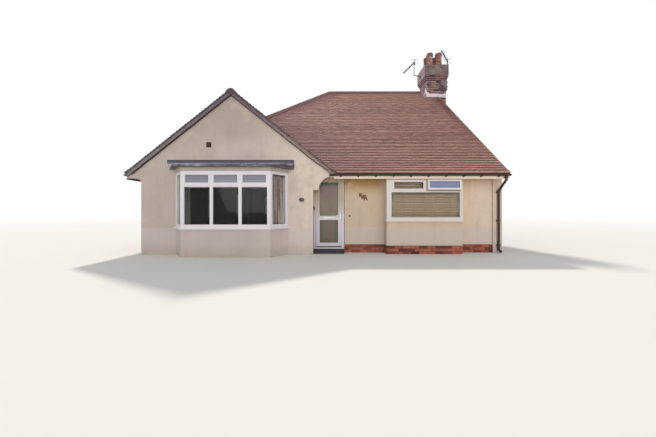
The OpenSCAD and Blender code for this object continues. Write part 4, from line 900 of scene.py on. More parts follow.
def valley_lead():
    """Lead in the valley between the wing and the front slope, with its edges turned up."""
    rings = []
    steps, half, upturn = 30, 0.05, 0.002
    for i in range(steps + 1):
        run = i / steps * (WING_RUN + TILE_OVER) - TILE_OVER
        x, y, z = X_WING_EAVE - run, -Y_EAVE + run, EAVE_Z + run * TP + (BUTT - 0.004) / CP
        rings.append([(x + side, y + side, z + abs(side) * TP + h) for side, h in
                      ((-half / math.sqrt(2), upturn), (0, 0), (half / math.sqrt(2), upturn))])
    swept("valley_lead", FELT, rings, False, smooth=True, thick=0.003)


def bedding(b, start, end, slope, reach=RIDGE_R):
    """Ragged mortar on one slope along a ridge or hip from start to end."""
    rnd = random.Random(round(start[0] * 7 + end[1] * 13 + slope.n.x * 3, 3))
    p, q = Vector(start), Vector(end)
    d = (q - p).normalized()
    w = slope.n.cross(d).normalized()
    if w.z > 0:
        w = -w
    flat = math.hypot(w.x, w.y)
    across = abs(w.x * d.y - w.y * d.x) / math.hypot(d.x, d.y) / flat
    w0 = reach / (flat * max(across, 0.3))
    count = max(2, int((q - p).length / 0.03))
    rings = []
    for i in range(count + 1):
        at = p + (q - p) * (i / count)
        edge = w0 + 0.022 + rnd.uniform(-0.008, 0.008)
        bulge = rnd.uniform(-0.003, 0.004)
        section = ((w0 - 0.05, 0.01), (w0 - 0.05, 0.046), (w0 - 0.004, 0.04 + bulge),
                   (w0 + 0.01, 0.026 + bulge), (edge, 0.012), (edge - 0.01, 0.004))
        rings.append([at + w * o + slope.n * h for o, h in section])
    b.sweep(rings, closed=True)


def ridge_bedding():
    b = Build()
    top, knot = (X_RIDGE, 0, RIDGE_Z), (X_WING_RIDGE, Y_VALLEY, WING_RIDGE_Z)
    corner = (X_EAVE - 0.02, Y_EAVE + 0.02, EAVE_Z - 0.02 * TP)
    wing = (X_WING_RIDGE, -Y_EAVE - 0.04, WING_RIDGE_Z)
    stack = (X_STACK - STACK_R - 0.12, 0, RIDGE_Z)
    for start, end, slopes, reach in (
            ((X_RIDGE + 0.06, 0, RIDGE_Z), stack, (FRONT, REAR), RIDGE_R),
            (corner, top, (REAR, LEFT), RIDGE_R), (knot, top, (FRONT, LEFT), RIDGE_R),
            (wing, (X_WING_RIDGE, Y_VALLEY - 0.15, WING_RIDGE_Z), (LEFT, RIGHT), 0.118)):
        for slope in slopes:
            bedding(b, start, end, slope, reach)
    b.piece("ridge_bedding", BEDDING)


def verge_trim():
    """Tile edges and undercloak on the face of the gable."""
    tiles, slip = Build(), Build()
    rnd = random.Random(11)
    rake = WING_RUN / CP
    for side, eave_x, thick, first, lip in ((1, X_EAVE, 0.024, 0.05 / CP, 0),
                                            (-1, X_WING_EAVE, 0.016, 0.13 / CP, 0.045)):
        def at(s, h, y):
            return (eave_x + side * (s * CP - h * SP), y, EAVE_Z + s * SP + h * CP)

        for i in range(int(rake / GAUGE + 1)):
            s0 = i * GAUGE + S_EAVE
            s1 = min(s0 + GAUGE * 1.12, rake - 0.02)
            if s1 <= s0:
                continue
            tone = rnd.gauss(0.5, 0.22)
            for layer in range(EDGE_LAYERS):
                y0, y1 = Y_VERGE - 0.003 + rnd.uniform(-0.003, 0.003), Y_VERGE + 0.016
                h = BUTT - EDGE_PITCH * layer + rnd.uniform(-0.0015, 0.002)
                top = [at(s0 + EDGE_STEP * layer, h, y) for y in (y0, y1)]
                top += [at(s1, h - BUTT * 1.12, y) for y in (y1, y0)]
                base = [(x, y, z - EDGE_T * CP) for x, y, z in top]
                value = tone + rnd.gauss(0, 0.15) - 0.12 * layer
                tiles.prism(base[::-side], top[::-side], value)
        rings = []
        for i in range(61):
            s = first + i / 60 * (rake - first)
            low = VERGE_DEPTH - 0.004 + 0.002 * math.sin(s * 9) + rnd.uniform(-0.002, 0.002)
            low -= lip * max(0, 1 - (s - first) / 0.35)
            rings.append([at(s, -low, -Y_EAVE), at(s, -low, Y_VERGE - 0.004),
                          at(s, -low - thick, Y_VERGE - 0.004), at(s, -low - thick, -Y_EAVE)])
        slip.sweep(rings, closed=True)
    tiles.piece("verge_tile_edges", VERGE_TILE)
    slip.piece("verge_undercloak", SLIP)


def ridge_end():
    """Mortar in the end of the wing's ridge: the rim of the tile, and a plug under it."""
    b = Build()
    turned(b, X_WING_RIDGE, WING_RIDGE_Z - 0.085, 0.074, 0.1, Y_VERGE - 0.005, Y_VERGE + 0.03,
           math.pi, 12, 0.2)
    turned(b, X_WING_RIDGE, WING_RIDGE_Z - 0.1, 0, 0.026, Y_VERGE - 0.012, Y_VERGE, math.pi, 12, 0)
    b.piece("ridge_end_plug", PLUG)


def kneeler_shade_board():
    """Near-black board under the left foot of the gable, thinning towards the wall: painted shade for
    the hollow under the foot.
    """
    rings = []
    front, rear, steps = -Y_EAVE - 0.006, -5.02, 16
    for i in range(steps + 1):
        t = i / steps
        x = X_EAVE - 0.015 + t * 0.37
        z = 2.08 + 0.012 * math.sin(math.pi * t) - 0.03 * t * t
        deep = 0.062 * math.sin(math.pi * (0.1 + 0.84 * (1 - t)) ** 0.8) ** 0.6
        rings.append([(x, front, z), (x, rear, z), (x, rear, z - deep), (x, front, z - deep)])
    swept("kneeler_shade_board", KNEELER_SHADE, rings)


# Bricks
BRICK_W, BED = 0.215, 0.01
WALL_PROUD, HEAD_PROUD, PLINTH_PROUD = 0.004, 0.003, 0.008
STACK_FOOT, PARTY_TOP = 6.21, 6.3


def lay_bricks(b, place, width, z0, z1, proud, tone, outline=None, seed=1, reach=0.0,
               wobble=0.0015, bed=BED):
    """Stretcher bond on a wall face; place(a, z, h) turns a run along the face, a height and a
    distance out of it into a point. reach carries the end bricks round a corner."""
    rnd = random.Random(seed)
    rows = round((z1 - z0) / COURSE)
    pitch = BRICK_W + BED
    for row in range(rows):
        lo = z0 + row * (z1 - z0) / rows
        hi = lo + (z1 - z0) / rows - bed
        for i in range(int(width / pitch) + 2):
            a0 = i * pitch - (row % 2) * pitch / 2
            a1 = a0 + BRICK_W
            a0 = -reach if a0 < 0.03 else a0
            a1 = width + reach if a1 > width - 0.03 else a1
            if a1 - a0 < 0.04 or a0 > width:
                continue
            quad = rectangle(a0, a1, lo, hi)
            value = tone(rnd, (a0 + a1) / 2, (lo + hi) / 2)
            out = proud + rnd.uniform(-wobble, wobble)
            if outline:
                quad = clip(quad, outline)
                if not quad or area(quad) < 0.0006:
                    continue
            b.prism([place(a, z, -0.003) for a, z in quad], [place(a, z, out) for a, z in quad],
                    value)


def any_tone(rnd, a, z):
    return min(1, max(0, rnd.gauss(0.5, 0.25)))


def around_stack(r):
    """The four faces of a square column of half width r about the stack."""
    x = X_STACK
    return (lambda a, z, h: (x - r + a, -r - h, z), lambda a, z, h: (x + r + h, a - r, z),
            lambda a, z, h: (x + r - a, r + h, z), lambda a, z, h: (x - r - h, r - a, z))


def party_wall_bricks():
    """Plain brick on the party face up to the slopes, and round the breast beyond it."""
    b = Build()
    half, roof = Y_WALL, EAVE_Z - 0.14
    outline = [(0, 0), (2 * half, 0), (2 * half, roof + (Y_EAVE - half) * TP),
               (half, roof + Y_EAVE * TP), (0, roof + (Y_EAVE - half) * TP)]
    for y0, y1 in ((-half, -STACK_R), (STACK_R, half)):
        lay_bricks(b, lambda a, z, h: (X_PARTY + h, a - half, z), 2 * half, 0.0, PARTY_TOP, WALL_PROUD,
                   any_tone, clip(rectangle(y0 + half, y1 + half, 0, 9), outline), 5)
    out = X_STACK + STACK_R - X_PARTY
    side, rear = around_stack(STACK_R)[1:3]
    for place, width, seed, reach in (
            (lambda a, z, h: (X_PARTY + a, -STACK_R - h, z), out, 6, WALL_PROUD),
            (side, 2 * STACK_R, 7, 0.0), (rear, out, 8, WALL_PROUD)):
        lay_bricks(b, place, width, 0, PARTY_TOP, WALL_PROUD, any_tone, seed=seed, reach=reach)
    b.piece("party_wall_bricks", PARTY_BRICK)


def shaft_tone(rnd, a, z):
    """Yellow-brown in the middle, purple and dark at the edges, red under the head."""
    if rnd.random() < 0.07:
        return 0.0
    if z > STACK_TOP - 0.05:
        red = 0.99 if a > STACK_R * 1.05 and rnd.random() < 0.6 else 0.3
        return red + rnd.uniform(-0.1, 0.05)
    if STACK_R * 0.7 < a < STACK_R * 1.35:
        return min(0.85, max(0.1, rnd.gauss(0.66, 0.2)))
    return min(0.6, max(0, rnd.gauss(0.24 if a > STACK_R else 0.36, 0.16)))


def stack_bricks():
    """The shaft from the roof to its head, with three courses that step out below the head."""
    shaft, head = Build(), Build()
    for i, place in enumerate(around_stack(STACK_R)):
        lay_bricks(shaft, place, 2 * STACK_R, PARTY_TOP if i == 1 else STACK_FOOT, STACK_TOP,
                   WALL_PROUD, shaft_tone, seed=20 + i, reach=WALL_PROUD * (i % 2 == 0),
                   wobble=0.003, bed=0.026)
    for step in range(3):
        z = STACK_TOP + step * COURSE
        r = STACK_R + (step + 1) * (HEAD_R - STACK_R) / 3
        for i, place in enumerate(around_stack(r)):
            lay_bricks(shaft, place, 2 * r, z, z + COURSE, HEAD_PROUD, shaft_tone,
                       seed=30 + 4 * step + i, reach=HEAD_PROUD * (i % 2 == 0), bed=0.018)
    for i, place in enumerate(around_stack(HEAD_R)):
        lay_bricks(head, place, 2 * HEAD_R, STACK_TOP + 3 * COURSE, HEAD_TOP, HEAD_PROUD,
                   any_tone, seed=50 + i, reach=HEAD_PROUD * (i % 2 == 0))
    shaft.piece("chimney_shaft_bricks", STACK_BRICK)
    head.piece("chimney_head_bricks", HEAD_BRICK)


def skin(name, material, path, z0, z1, thick, seed, crown=lambda u: 1):
    """Lumpy mortar on a wall: path gives points in plan with the way out of each, and crown
    the share of the height that it has along the path."""
    rnd = random.Random(seed)
    waves = [(rnd.uniform(8, 30), rnd.uniform(8, 30), rnd.uniform(0, 6)) for _ in range(5)]
    points = [tuple(p + i / 6 * (q - p) for p, q in zip(start, end))
              for start, end in zip(path, path[1:]) for i in range(6)] + [path[-1]]
    rings = []
    for j in range(15):
        v = j / 14
        outer, inner = [], []
        for i, (x, y, nx, ny) in enumerate(points):
            u = i / (len(points) - 1)
            z = z0 + (z1 - z0) * crown(u) * v + 0.02 * math.sin(7 * u + seed) * (1 - abs(2 * v - 1))
            rough = sum(math.sin(a * u + c * v + d) for a, c, d in waves) / 5
            swell = (1 - (2 * u - 1) ** 6) * (1 - (2 * v - 1) ** 6)
            out = 0.004 + thick * max(0.05, swell * (0.8 + 0.35 * rough))
            outer.append((x + nx * out, y + ny * out, z))
            inner.append((x - nx * 0.002, y - ny * 0.002, z))
        rings.append(outer + inner[::-1])
    swept(name, material, rings, smooth=True)


def stack_repairs():
    """Cement over the right edge of the shaft, a pale fillet at its left foot, and the apron
    carried on past the party line."""
    right, left, front = X_STACK + STACK_R, X_STACK - STACK_R, -STACK_R
    skin("chimney_shaft_patch", PATCH, [(right - 0.25, front, 0, -0.5), (right, front, 0.9, -0.5),
                                        (right, 0.2, 0.9, 0)], 6.56, 7.1, 0.08, 2)
    skin("chimney_corner_fillet", FILLET, [(left, -0.18, -0.8, 0), (left, front, -0.8, -0.8),
                                           (left + 0.13, front, 0, -0.6)], 6.44, 6.76, 0.03, 5,
         lambda u: 0.25 + 0.7 * math.sin(math.pi * min(1, u * 1.3) ** 0.8) ** 2)
    rings = []
    for i in range(13):
        x = X_PARTY - 0.01 + (right + 0.012 - X_PARTY) * i / 12
        sag = 0.006 * math.sin(9 * x)
        rings.append([(x, front - out, z) for out, z in (
            (0.006, 6.45), (0.007, 6.38), (0.045, 6.31), (0.07, 6.272 + sag), (0.064, 6.266 + sag),
            (0.0045, 6.33))])
    swept("chimney_apron_end", LEAD, rings)


def plinth_bricks():
    """Three courses of orange-red brick along the foot of the wall right of the door."""
    bricks, joints = Build(), Build()
    runs = ((X_DOOR + 0.004, X_BOX, -Y_WALL), (X_BOX, X_BOX_END, Y_BOX),
            (X_BOX_END, X_PIER, -Y_WALL))
    for i, (x0, x1, y) in enumerate(runs):
        lay_bricks(bricks, lambda a, z, h: (x0 + a, y - h, z), x1 - x0, 0, PLINTH_Z,
                   PLINTH_PROUD, any_tone, seed=70 + i)
        joints.box((x0, y - 0.004, 0.0), (x1, y + 0.002, PLINTH_Z - 0.001))
    for i, place in enumerate((lambda a, z, h: (X_BOX - h, -Y_WALL - a, z),
                               lambda a, z, h: (X_BOX_END + h, Y_BOX + a, z))):
        lay_bricks(bricks, place, -Y_WALL - Y_BOX, 0, PLINTH_Z, PLINTH_PROUD, any_tone,
                   seed=80 + i)
    for x0 in (X_BOX - 0.004, X_BOX_END):
        joints.box((x0, Y_BOX, 0.0), (x0 + 0.004, -Y_WALL, PLINTH_Z - 0.001))
    bricks.piece("plinth_bricks", PLINTH_BRICK)
    joints.piece("plinth_mortar", PLINTH_JOINT)


# Lead on the bay
def bay_plan(out):
    """Plan of the bay's outline set out by a distance, from its left wall end to its right."""
    half = BAY_W / 2 + out / math.sin(BAY_ANGLE)
    front = BAY_FRONT_W / 2 + out * math.tan(BAY_ANGLE / 2)
    y = -Y_EAVE - BAY_PROJ - out
    return [(X_BAY - half, -Y_EAVE), (X_BAY - front, y), (X_BAY + front, y), (X_BAY + half, -Y_EAVE)]


def along(points, step):
    """Points on a path no further apart than step, with the corners kept."""
    out = []
    for p, q in zip(points, points[1:]):
        n = max(1, round(math.dist(p, q) / step))
        out += [(p[0] + (q[0] - p[0]) * i / n, p[1] + (q[1] - p[1]) * i / n) for i in range(n)]
    return out + [points[-1]]


def bay_lead():
    """A dressed sheet: up the wall, over the flat roof, and down its edge in a ragged drip."""
    rnd = random.Random(4)
    edge, drip = along(bay_plan(BAY_OVER + 0.002), 0.03), along(bay_plan(BAY_OVER + 0.009), 0.03)
    wall_y = -Y_EAVE - 0.0095
    z_edge = BAY_ROOF_Z + BAY_ROOF_H + 0.004
    z_wall = z_edge + BAY_RISE
    fall = BAY_RISE / (BAY_PROJ + BAY_OVER)
    rings = []
    for i, ((x, y), (xo, yo)) in enumerate(zip(edge, drip)):
        t = i / (len(edge) - 1)
        y, yo = min(y, wall_y - 0.004), min(yo, wall_y - 0.006)
        x_top = X_BAY + (x - X_BAY) * (1.03 if x < X_BAY else 0.985)
        z_here = z_edge + fall * (y + Y_EAVE + BAY_PROJ + BAY_OVER)
        hang = 0.068 + 0.006 * math.sin(t * 21) + 0.004 * math.sin(t * 57 + 1)
        hang += rnd.uniform(-0.003, 0.003)
        # it hangs lower at two places
        hang += 0.045 * max(0, 1 - abs(t - 0.09) / 0.07) + 0.012 * max(0, 1 - abs(t - 0.96) / 0.04)
        crease = 0.0015 * math.sin(t * 83) + rnd.uniform(-0.0008, 0.0008)
        kick = 0.006 + 0.003 * math.sin(t * 33)
        size = math.dist((x, y), (xo, yo)) or 1
        ux, uy = (xo - x) / size, (yo - y) / size
        rings.append([(x_top, wall_y - out, z_wall + up)
                      for out, up in ((0, STRIP_H - 0.004), (0.003, 0.06), (0.002, 0.004))]
                     + [(x, y, z_here)]
                     + [(xo + ux * out, yo + uy * out, z_here - down)
                        for out, down in ((crease, 0.006), (crease, 0.035),
                                          (crease + kick * 0.3, hang * 0.8), (kick, hang))])
    swept("bay_roof_lead", BAY_LEAD, rings, False, smooth=True, thick=0.0025, offset=1,
          runs=[0.0, 0.16, 0.3, 0.6, 0.66, 0.78, 0.9, 1.0])


for make in (valley_lead, ridge_bedding, verge_trim, ridge_end, kneeler_shade_board, party_wall_bricks,
             stack_bricks, stack_repairs, plinth_bricks, bay_lead):
    make()


# Glazing: beads and gaskets round each pane
REVEAL = 0.06
GLASS_IN = (FRAME_D - GLASS_T) / 2
BAY_PANES = [(1, 0.075 + i * 0.74, 0.745 + i * 0.74, 0.835, 1.82) for i in range(3)]
BAY_PANES += [(1, 0.105 + i * 0.74, 0.715 + i * 0.74, 1.92, 2.13) for i in range(3)]
BAY_PANES += [(0, 0.07, BAY_SIDE - 0.075, 0.835, 2.16), (2, 0.075, BAY_SIDE - 0.07, 0.835, 2.16)]
BOX_POST = (1.73, 1.826, 0.945, 2.1)
BOX_SASH, SASH_W = (1.826, 2.783, 1.762, 2.058), (0.068, 0.068, 0.044, 0.056)
BOX_PANE, BOX_MULLION, BOX_HEAD_Z = (1.826, 3.734, 1.01, 1.715), 2.81, 1.76
CASEMENT_W, MEMBER, LIGHTS_Z = 1.05, 0.06, ((1.01, 1.69), (1.75, 1.99))
REAR_WINDOWS, SIDE_WINDOWS = (-3.4, -1.2, 3.4), ((-1.5, 0.6), (2.4, CASEMENT_W))
DOOR_PANES = ((-0.178, 0.368, 0.268, 0.938), (-0.178, 0.368, 1.047, 2.022))
X_BACK_DOOR = 1.6


def front_face(y):
    """Places a, depth and z on a face; depth runs into the wall."""
    return lambda a, d, z: (a, y + d, z)


def rear_face(x):
    return lambda a, d, z: (x - a, Y_WALL - REVEAL - d, z)


def side_face(y):
    return lambda a, d, z: (X_WALL + REVEAL + d, y - a, z)


def bay_face(i):
    """The left splay, the front or the right splay of the bay."""
    turn = (-BAY_ANGLE, 0, BAY_ANGLE)[i]
    x0 = X_BAY + (-BAY_W / 2, -BAY_FRONT_W / 2, BAY_FRONT_W / 2)[i]
    y0 = -Y_EAVE - (0, BAY_PROJ, BAY_PROJ)[i]
    c, s = math.cos(turn), math.sin(turn)
    return lambda a, d, z: (x0 + a * c - d * s, y0 + a * s + d * c, z)


def ring(b, place, rect, w, y0, y1):
    """A mitred strip inside a rectangle, sloping from y0 at its outer edge to y1 inside."""
    a0, a1, z0, z1 = rect
    outer, inner = rectangle(*rect), rectangle(a0 + w, a1 - w, z0 + w, z1 - w)
    points = [place(a, y, z) for line, y in ((outer, y0), (outer, y1), (inner, y1)) for a, z in line]
    faces = []
    for i in range(4):
        j = (i + 1) % 4
        faces += [(i, j, 8 + j, 8 + i), (4 + j, 4 + i, 8 + i, 8 + j), (j, i, 4 + i, 4 + j)]
    b.add(points, faces)


def glaze(beads, gaskets, place, rect, y_glass=GLASS_IN):
    a0, a1, z0, z1 = rect
    inset = 0.0115
    ring(beads, place, rect, 0.012, y_glass - 0.016, y_glass - 0.001)
    ring(gaskets, place, (a0 + inset, a1 - inset, z0 + inset, z1 - inset), 0.005,
         y_glass - 0.004, y_glass - 0.0005)


def window_glazing():
    beads, gaskets = Build(), Build()
    for face, *rect in BAY_PANES:
        glaze(beads, gaskets, bay_face(face), rect)
    glaze(beads, gaskets, front_face(Y_BOX), BOX_PANE)
    # the box window's closed sash, and the post at its corner
    x0, x1, z0, z1 = BOX_SASH
    left, right, low, top = SASH_W
    y0, y1 = Y_BOX - 0.012, Y_BOX + 0.012
    inner = (x0 + left, x1 - right, z0 + low, z1 - top)
    for xa, xb, za, zb in ((x0, inner[0], z0, z1), (inner[1], x1, z0, z1),
                           (inner[0], inner[1], z0, inner[2]), (inner[0], inner[1], inner[3], z1)):
        beads.box((xa, y0, za), (xb, y1, zb))
    glaze(beads, gaskets, front_face(y0), inner, 0.02)
    xa, xb, za, zb = BOX_POST
    beads.box((xa, Y_BOX - 0.004, za), (xb, Y_BOX + GLASS_IN, zb))
    faces = [(rear_face(x), CASEMENT_W) for x in REAR_WINDOWS]
    for place, w in faces + [(side_face(y), w) for y, w in SIDE_WINDOWS]:
        for low, top in LIGHTS_Z:
            glaze(beads, gaskets, place, (MEMBER - w / 2, w / 2 - MEMBER, low, top))
    # painted shadow: dark strips in the shadow gaps round the two sashes
    for xa, xb, za, zb in ((x1 + 0.002, x1 + 0.012, z0 - 0.008, z1),
                           (BOX_MULLION, X_BOX_END - 0.045, BOX_HEAD_Z - 0.014, BOX_HEAD_Z)):
        gaskets.box((xa, Y_BOX - 0.006, za), (xb, Y_BOX + 0.004, zb))
    beads.piece("window_beads", WHITE)
    gaskets.piece("window_gaskets", RUBBER)


def door_glazing():
    """Beads of the door's panes, the gap round its leaf, and the brush below it."""
    beads, gaskets = Build(), Build()
    for x in (-0.2935, 0.4635):
        gaskets.box((x, LEAF_Y - 0.004, 0.175), (x + 0.01, LEAF_Y + 0.006, 2.083))
    gaskets.box((-0.2925, LEAF_Y - 0.008, 0.156), (0.473, LEAF_Y + 0.006, 0.175))
    for rect in DOOR_PANES:
        glaze(beads, gaskets, front_face(LEAF_Y), rect, 0.01)
    beads.piece("front_door_beads", DOOR_WHITE, "front_door")
    gaskets.piece("front_door_gaskets", RUBBER, "front_door")


def tube(b, points, radii, up):
    """A tapered round bar through points; up lies square to its whole run."""
    rings = []
    last = len(points) - 1
    turns = [2 * math.pi * j / 8 for j in range(8)]
    for i, (p, r) in enumerate(zip(points, radii)):
        d = Vector(points[min(i + 1, last)]) - Vector(points[max(i - 1, 0)])
        u = Vector(up)
        v = d.normalized().cross(u)
        rings.append([Vector(p) + r * (math.cos(t) * u + math.sin(t) * v) for t in turns])
    b.sweep(rings, closed=True)


def back_door_trim():
    """Mouldings in the two panels, the gap round the leaf, and a lever on its plate."""
    trim, gap, lever = Build(), Build(), Build()
    place = rear_face(X_BACK_DOOR)
    for z0, z1 in ((0.35, 1.05), (1.15, 1.91)):
        ring(trim, place, (-0.31, 0.31, z0, z1), 0.02, 0.0, 0.0135)
    ring(gap, place, (-0.395, 0.395, 0.16, 2.005), 0.005, 0.001, -0.0008)
    lever.box((-0.372, -0.008, 0.98), (-0.338, 0.001, 1.2), place=place)
    points = ((-0.355, 0.0), (-0.355, -0.04), (-0.345, -0.052), (-0.32, -0.056), (-0.25, -0.054))
    tube(lever, [place(a, d, 1.12) for a, d in points], (0.011, 0.01, 0.01, 0.009, 0.008), Z)
    trim.piece("back_door_mouldings", BACK_PVC)
    gap.piece("back_door_gap", RUBBER)
    lever.piece("back_door_handle", HANDLE)


# Curtains, nets and the blind
CLOTH_T = 0.0012
CURTAIN_Z, BAY_NET_Z, NET_Z = (0.78, 2.205), (1.8, 2.205), (0.98, 2.0)
BAY_NET_IN, CURTAIN_IN, NET_IN = 0.13, 0.1, 0.17


def hang(name, material, path, z0, z1, fold, depth, rests_on, seed=1):
    """A gathered cloth along a path in plan, from z0 up to z1: its folds deepen downward."""
    rnd = random.Random(seed)
    length = sum(math.dist(p, q) for p, q in zip(path, path[1:]))
    folds = max(2, round(length / fold))
    line = along(path, fold / 10)
    phases = [rnd.uniform(-0.6, 0.6) for _ in range(folds + 2)]
    rings = []
    travelled = 0.0
    for i, p in enumerate(line):
        q = line[min(i + 1, len(line) - 1)]
        r = line[max(i - 1, 0)]
        size = math.dist(q, r)
        ux, uy = (q[0] - r[0]) / size, (q[1] - r[1]) / size
        travelled += math.dist(p, r)
        turn = travelled / length * folds
        k = int(turn)
        phase = phases[k] * (1 - turn + k) + phases[k + 1] * (turn - k)
        swing = math.sin(2 * math.pi * turn + phase)
        down = []
        for j in range(9):
            t = j / 8
            push = depth * swing * (0.7 + 0.3 * t) * (1 + 0.12 * math.sin(3 * t + phase))
            slide = 0.25 * depth * math.sin(4 * math.pi * turn + phase) * t
            down.append((p[0] - uy * push + ux * slide, p[1] + ux * push + uy * slide,
                         z1 - (z1 - z0) * t))
        rings.append(down)
    ob = swept(name, material, rings, False, smooth=True, thick=CLOTH_T)
    round(z1 - z0, 2)
    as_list(rests_on)


def window_dressing():
    """Curtains in the bay's splays, nets in the toplights and in the rear and side windows."""
    rail, rods = Build(), Build()
    for i, name, ends in ((0, "bay_curtain_left", (0.1, BAY_SIDE - 0.05)),
                          (2, "bay_curtain_right", (0.05, BAY_SIDE - 0.1))):
        hang(name, CURTAIN, [bay_face(i)(a, CURTAIN_IN, 0)[:2] for a in ends], *CURTAIN_Z, 0.085,
             0.022, ["bay_curtain_rail"], 3 + i)
    path = [bay_face(1)(a, BAY_NET_IN, 0)[:2] for a in (0.09, BAY_FRONT_W - 0.09)]
    hang("bay_net", NET, path, *BAY_NET_Z, 0.07, 0.012, ["bay_curtain_rail"], 9)
    for i, (a0, a1, d) in enumerate(((0.08, BAY_SIDE - 0.04, CURTAIN_IN),
                                     (0.08, BAY_FRONT_W - 0.08, BAY_NET_IN),
                                     (0.04, BAY_SIDE - 0.08, CURTAIN_IN))):
        rail.box((a0, d - 0.008, 2.208), (a1, d + 0.008, 2.2295), place=bay_face(i))
    rail.piece("bay_curtain_rail", WHITE)
    places = [(f"rear_net_{i + 1}", 20 + i, x, Y_WALL - NET_IN, CASEMENT_W / 2, 0)
              for i, x in enumerate(REAR_WINDOWS)]
    places += [(f"side_net_{i + 1}", 30 + i, X_WALL + NET_IN, y, 0, w / 2)
               for i, (y, w) in enumerate(SIDE_WINDOWS)]
    for name, seed, x, y, wx, wy in places:
        nx, ny = max(0, wx - 0.065), max(0, wy - 0.065)
        hang(name, NET, [(x - nx, y - ny), (x + nx, y + ny)], *NET_Z, 0.06, 0.012, ["net_rods"],
             seed)
        wx, wy = wx or 0.004, wy or 0.004
        rods.box((x - wx, y - wy, 2.002), (x + wx, y + wy, 2.012))
    rods.piece("net_rods", WHITE)


def box_blind():
    """Slatted blind behind the box window: cambered slats, a head rail and ladder tapes."""
    slats, rail = Build(), Build()
    rnd = random.Random(8)
    x0, x1, y = X_BOX + 0.08, X_BOX_END - 0.08, Y_BOX + FRAME_D + 0.05
    slat_w, slat_t, pitch, tilt = 0.05, 0.0016, 0.046, math.radians(37)
    top = [(t * slat_w, lift)
           for t, lift in ((-0.5, 0), (-0.25, 0.0022), (0, 0.003), (0.25, 0.0022), (0.5, 0))]
    outline = top + [(u, v - slat_t) for u, v in top[::-1]]
    z = 2.05
    while z > 0.99:
        lean = tilt + rnd.uniform(-0.05, 0.05)
        c, s = math.cos(lean), math.sin(lean)
        rings = []
        for x in (x0, x1):
            sag = rnd.uniform(-0.002, 0.002)
            rings.append([(x, y + u * c - v * s, z + sag + u * s + v * c) for u, v in outline])
        slats.sweep(rings, closed=True)
        z -= pitch
    rail.box((x0, y - 0.03, 2.085), (x1, y + 0.03, 2.135))
    rail.box((x0, y - 0.025, 0.965), (x1, y + 0.025, 0.985))
    for t in (0.08, 0.36, 0.64, 0.92):
        x = x0 + (x1 - x0) * t
        for d in (-0.027, 0.026):
            rail.box((x - 0.004, y + d, 0.985), (x + 0.004, y + d + 0.001, 2.085))
    slats.piece("box_blind_slats", SLAT)
    rail.piece("box_blind_rails", SLAT)


# Small things about the door, on the gutters and on the aerials
LIMBS = (((0.962, 1.697, 0.01), (1.0, 1.655, 0.02), (1.035, 1.62, 0.014), (1.075, 1.585, 0.022),
          (1.11, 1.555, 0.018)),
         ((1.075, 1.59, 0.01), (1.12, 1.62, 0.018), (1.165, 1.655, 0.013)),
         ((0.958, 1.628, 0.018), (0.985, 1.635, 0.013), (1.03, 1.615, 0.009)),
         ((1.11, 1.56, 0.012), (1.16, 1.55, 0.01), (1.19, 1.535, 0.019)))
BELL_X, BELL_Z, LETTER_Z = 0.69, 1.05, 0.992
KEY_Y, KEY_Z = -5.44, 1.27


def door_things():
    """Letter plate with its flap, key box, seal of the frame, ornament and bell."""
    plate, flap, key, seal, limbs, bell, push = (Build() for _ in range(7))
    x, z = X_LEAF, LETTER_Z
    plate.box((x - 0.14, LEAF_Y - 0.006, z - 0.026), (x + 0.14, LEAF_Y + 0.001, z + 0.026))
    flap.box((x - 0.115, LEAF_Y - 0.011, z - 0.017), (x + 0.115, LEAF_Y - 0.006, z + 0.015))
    flap.box((x - 0.115, LEAF_Y - 0.014, z + 0.011), (x + 0.115, LEAF_Y - 0.01, z + 0.017))
    # a case on the return wall, its lid and a dial cover
    for x0, x1, w, low, top in ((0, 0.028, 0.03, 0.055, 0.055), (0.028, 0.038, 0.024, 0.048, 0.04),
                                (0.038, 0.044, 0.012, 0.03, 0.01)):
        key.box((X_RETURN + x0, KEY_Y - w, KEY_Z - low), (X_RETURN + x1, KEY_Y + w, KEY_Z + top))
    seal.box((X_DOOR, -Y_WALL - 0.003, PLINTH_Z + 0.01), (X_DOOR + 0.016, -Y_WALL + 0.006, DOOR_HEAD_Z))
    for limb in LIMBS:
        tube(limbs, [(a, -Y_WALL - 0.012, z) for a, z, r in limb], [r for a, z, r in limb], (0, 1, 0))
    turned(bell, BELL_X, BELL_Z, 0.024, 0.031, -5.203, -5.194, 2 * math.pi, 24)
    turned(push, BELL_X, BELL_Z, 0.0, 0.011, -5.205, -5.196, 2 * math.pi, 24)
    plate.piece("letter_plate", WHITE, "front_door")
    flap.piece("letter_flap", HANDLE, "front_door")
    key.piece("key_box", BLACK)
    seal.piece("door_frame_seal", TRIM)
    limbs.piece("wall_ornament_limbs", BRONZE)
    bell.piece("doorbell_rim", BRONZE)
    push.piece("doorbell_push", HANDLE)


def bracket_ribs():
    """Webs below the gutter brackets, out from the fascia."""
    b = Build()
    section = ((0.0, 0.012), (0.085, 0.012), (0.07, -0.004), (0.0, -0.026))
    for (x, y), (rx, ry), (ox, oy), length in (((0.11, -Y_EAVE), (1, 0), (0, -1), 4.94),
                                               ((X_EAVE, Y_EAVE), (1, 0), (0, 1), 10.49),
                                               ((X_EAVE, -Y_EAVE), (0, 1), (-1, 0), 2 * Y_EAVE)):
        count = int(length / BRACKET_STEP)
        for i in range(count):
            a = (length - (count - 1) * BRACKET_STEP) / 2 + i * BRACKET_STEP
            b.sweep([[(x + rx * side + ox * u, y + ry * side + oy * u, GUTTER_Z + h)
                      for u, h in section] for side in (a - BRACKET_W / 2, a + BRACKET_W / 2)],
                    closed=True)
    b.piece("gutter_bracket_ribs", GUTTER)


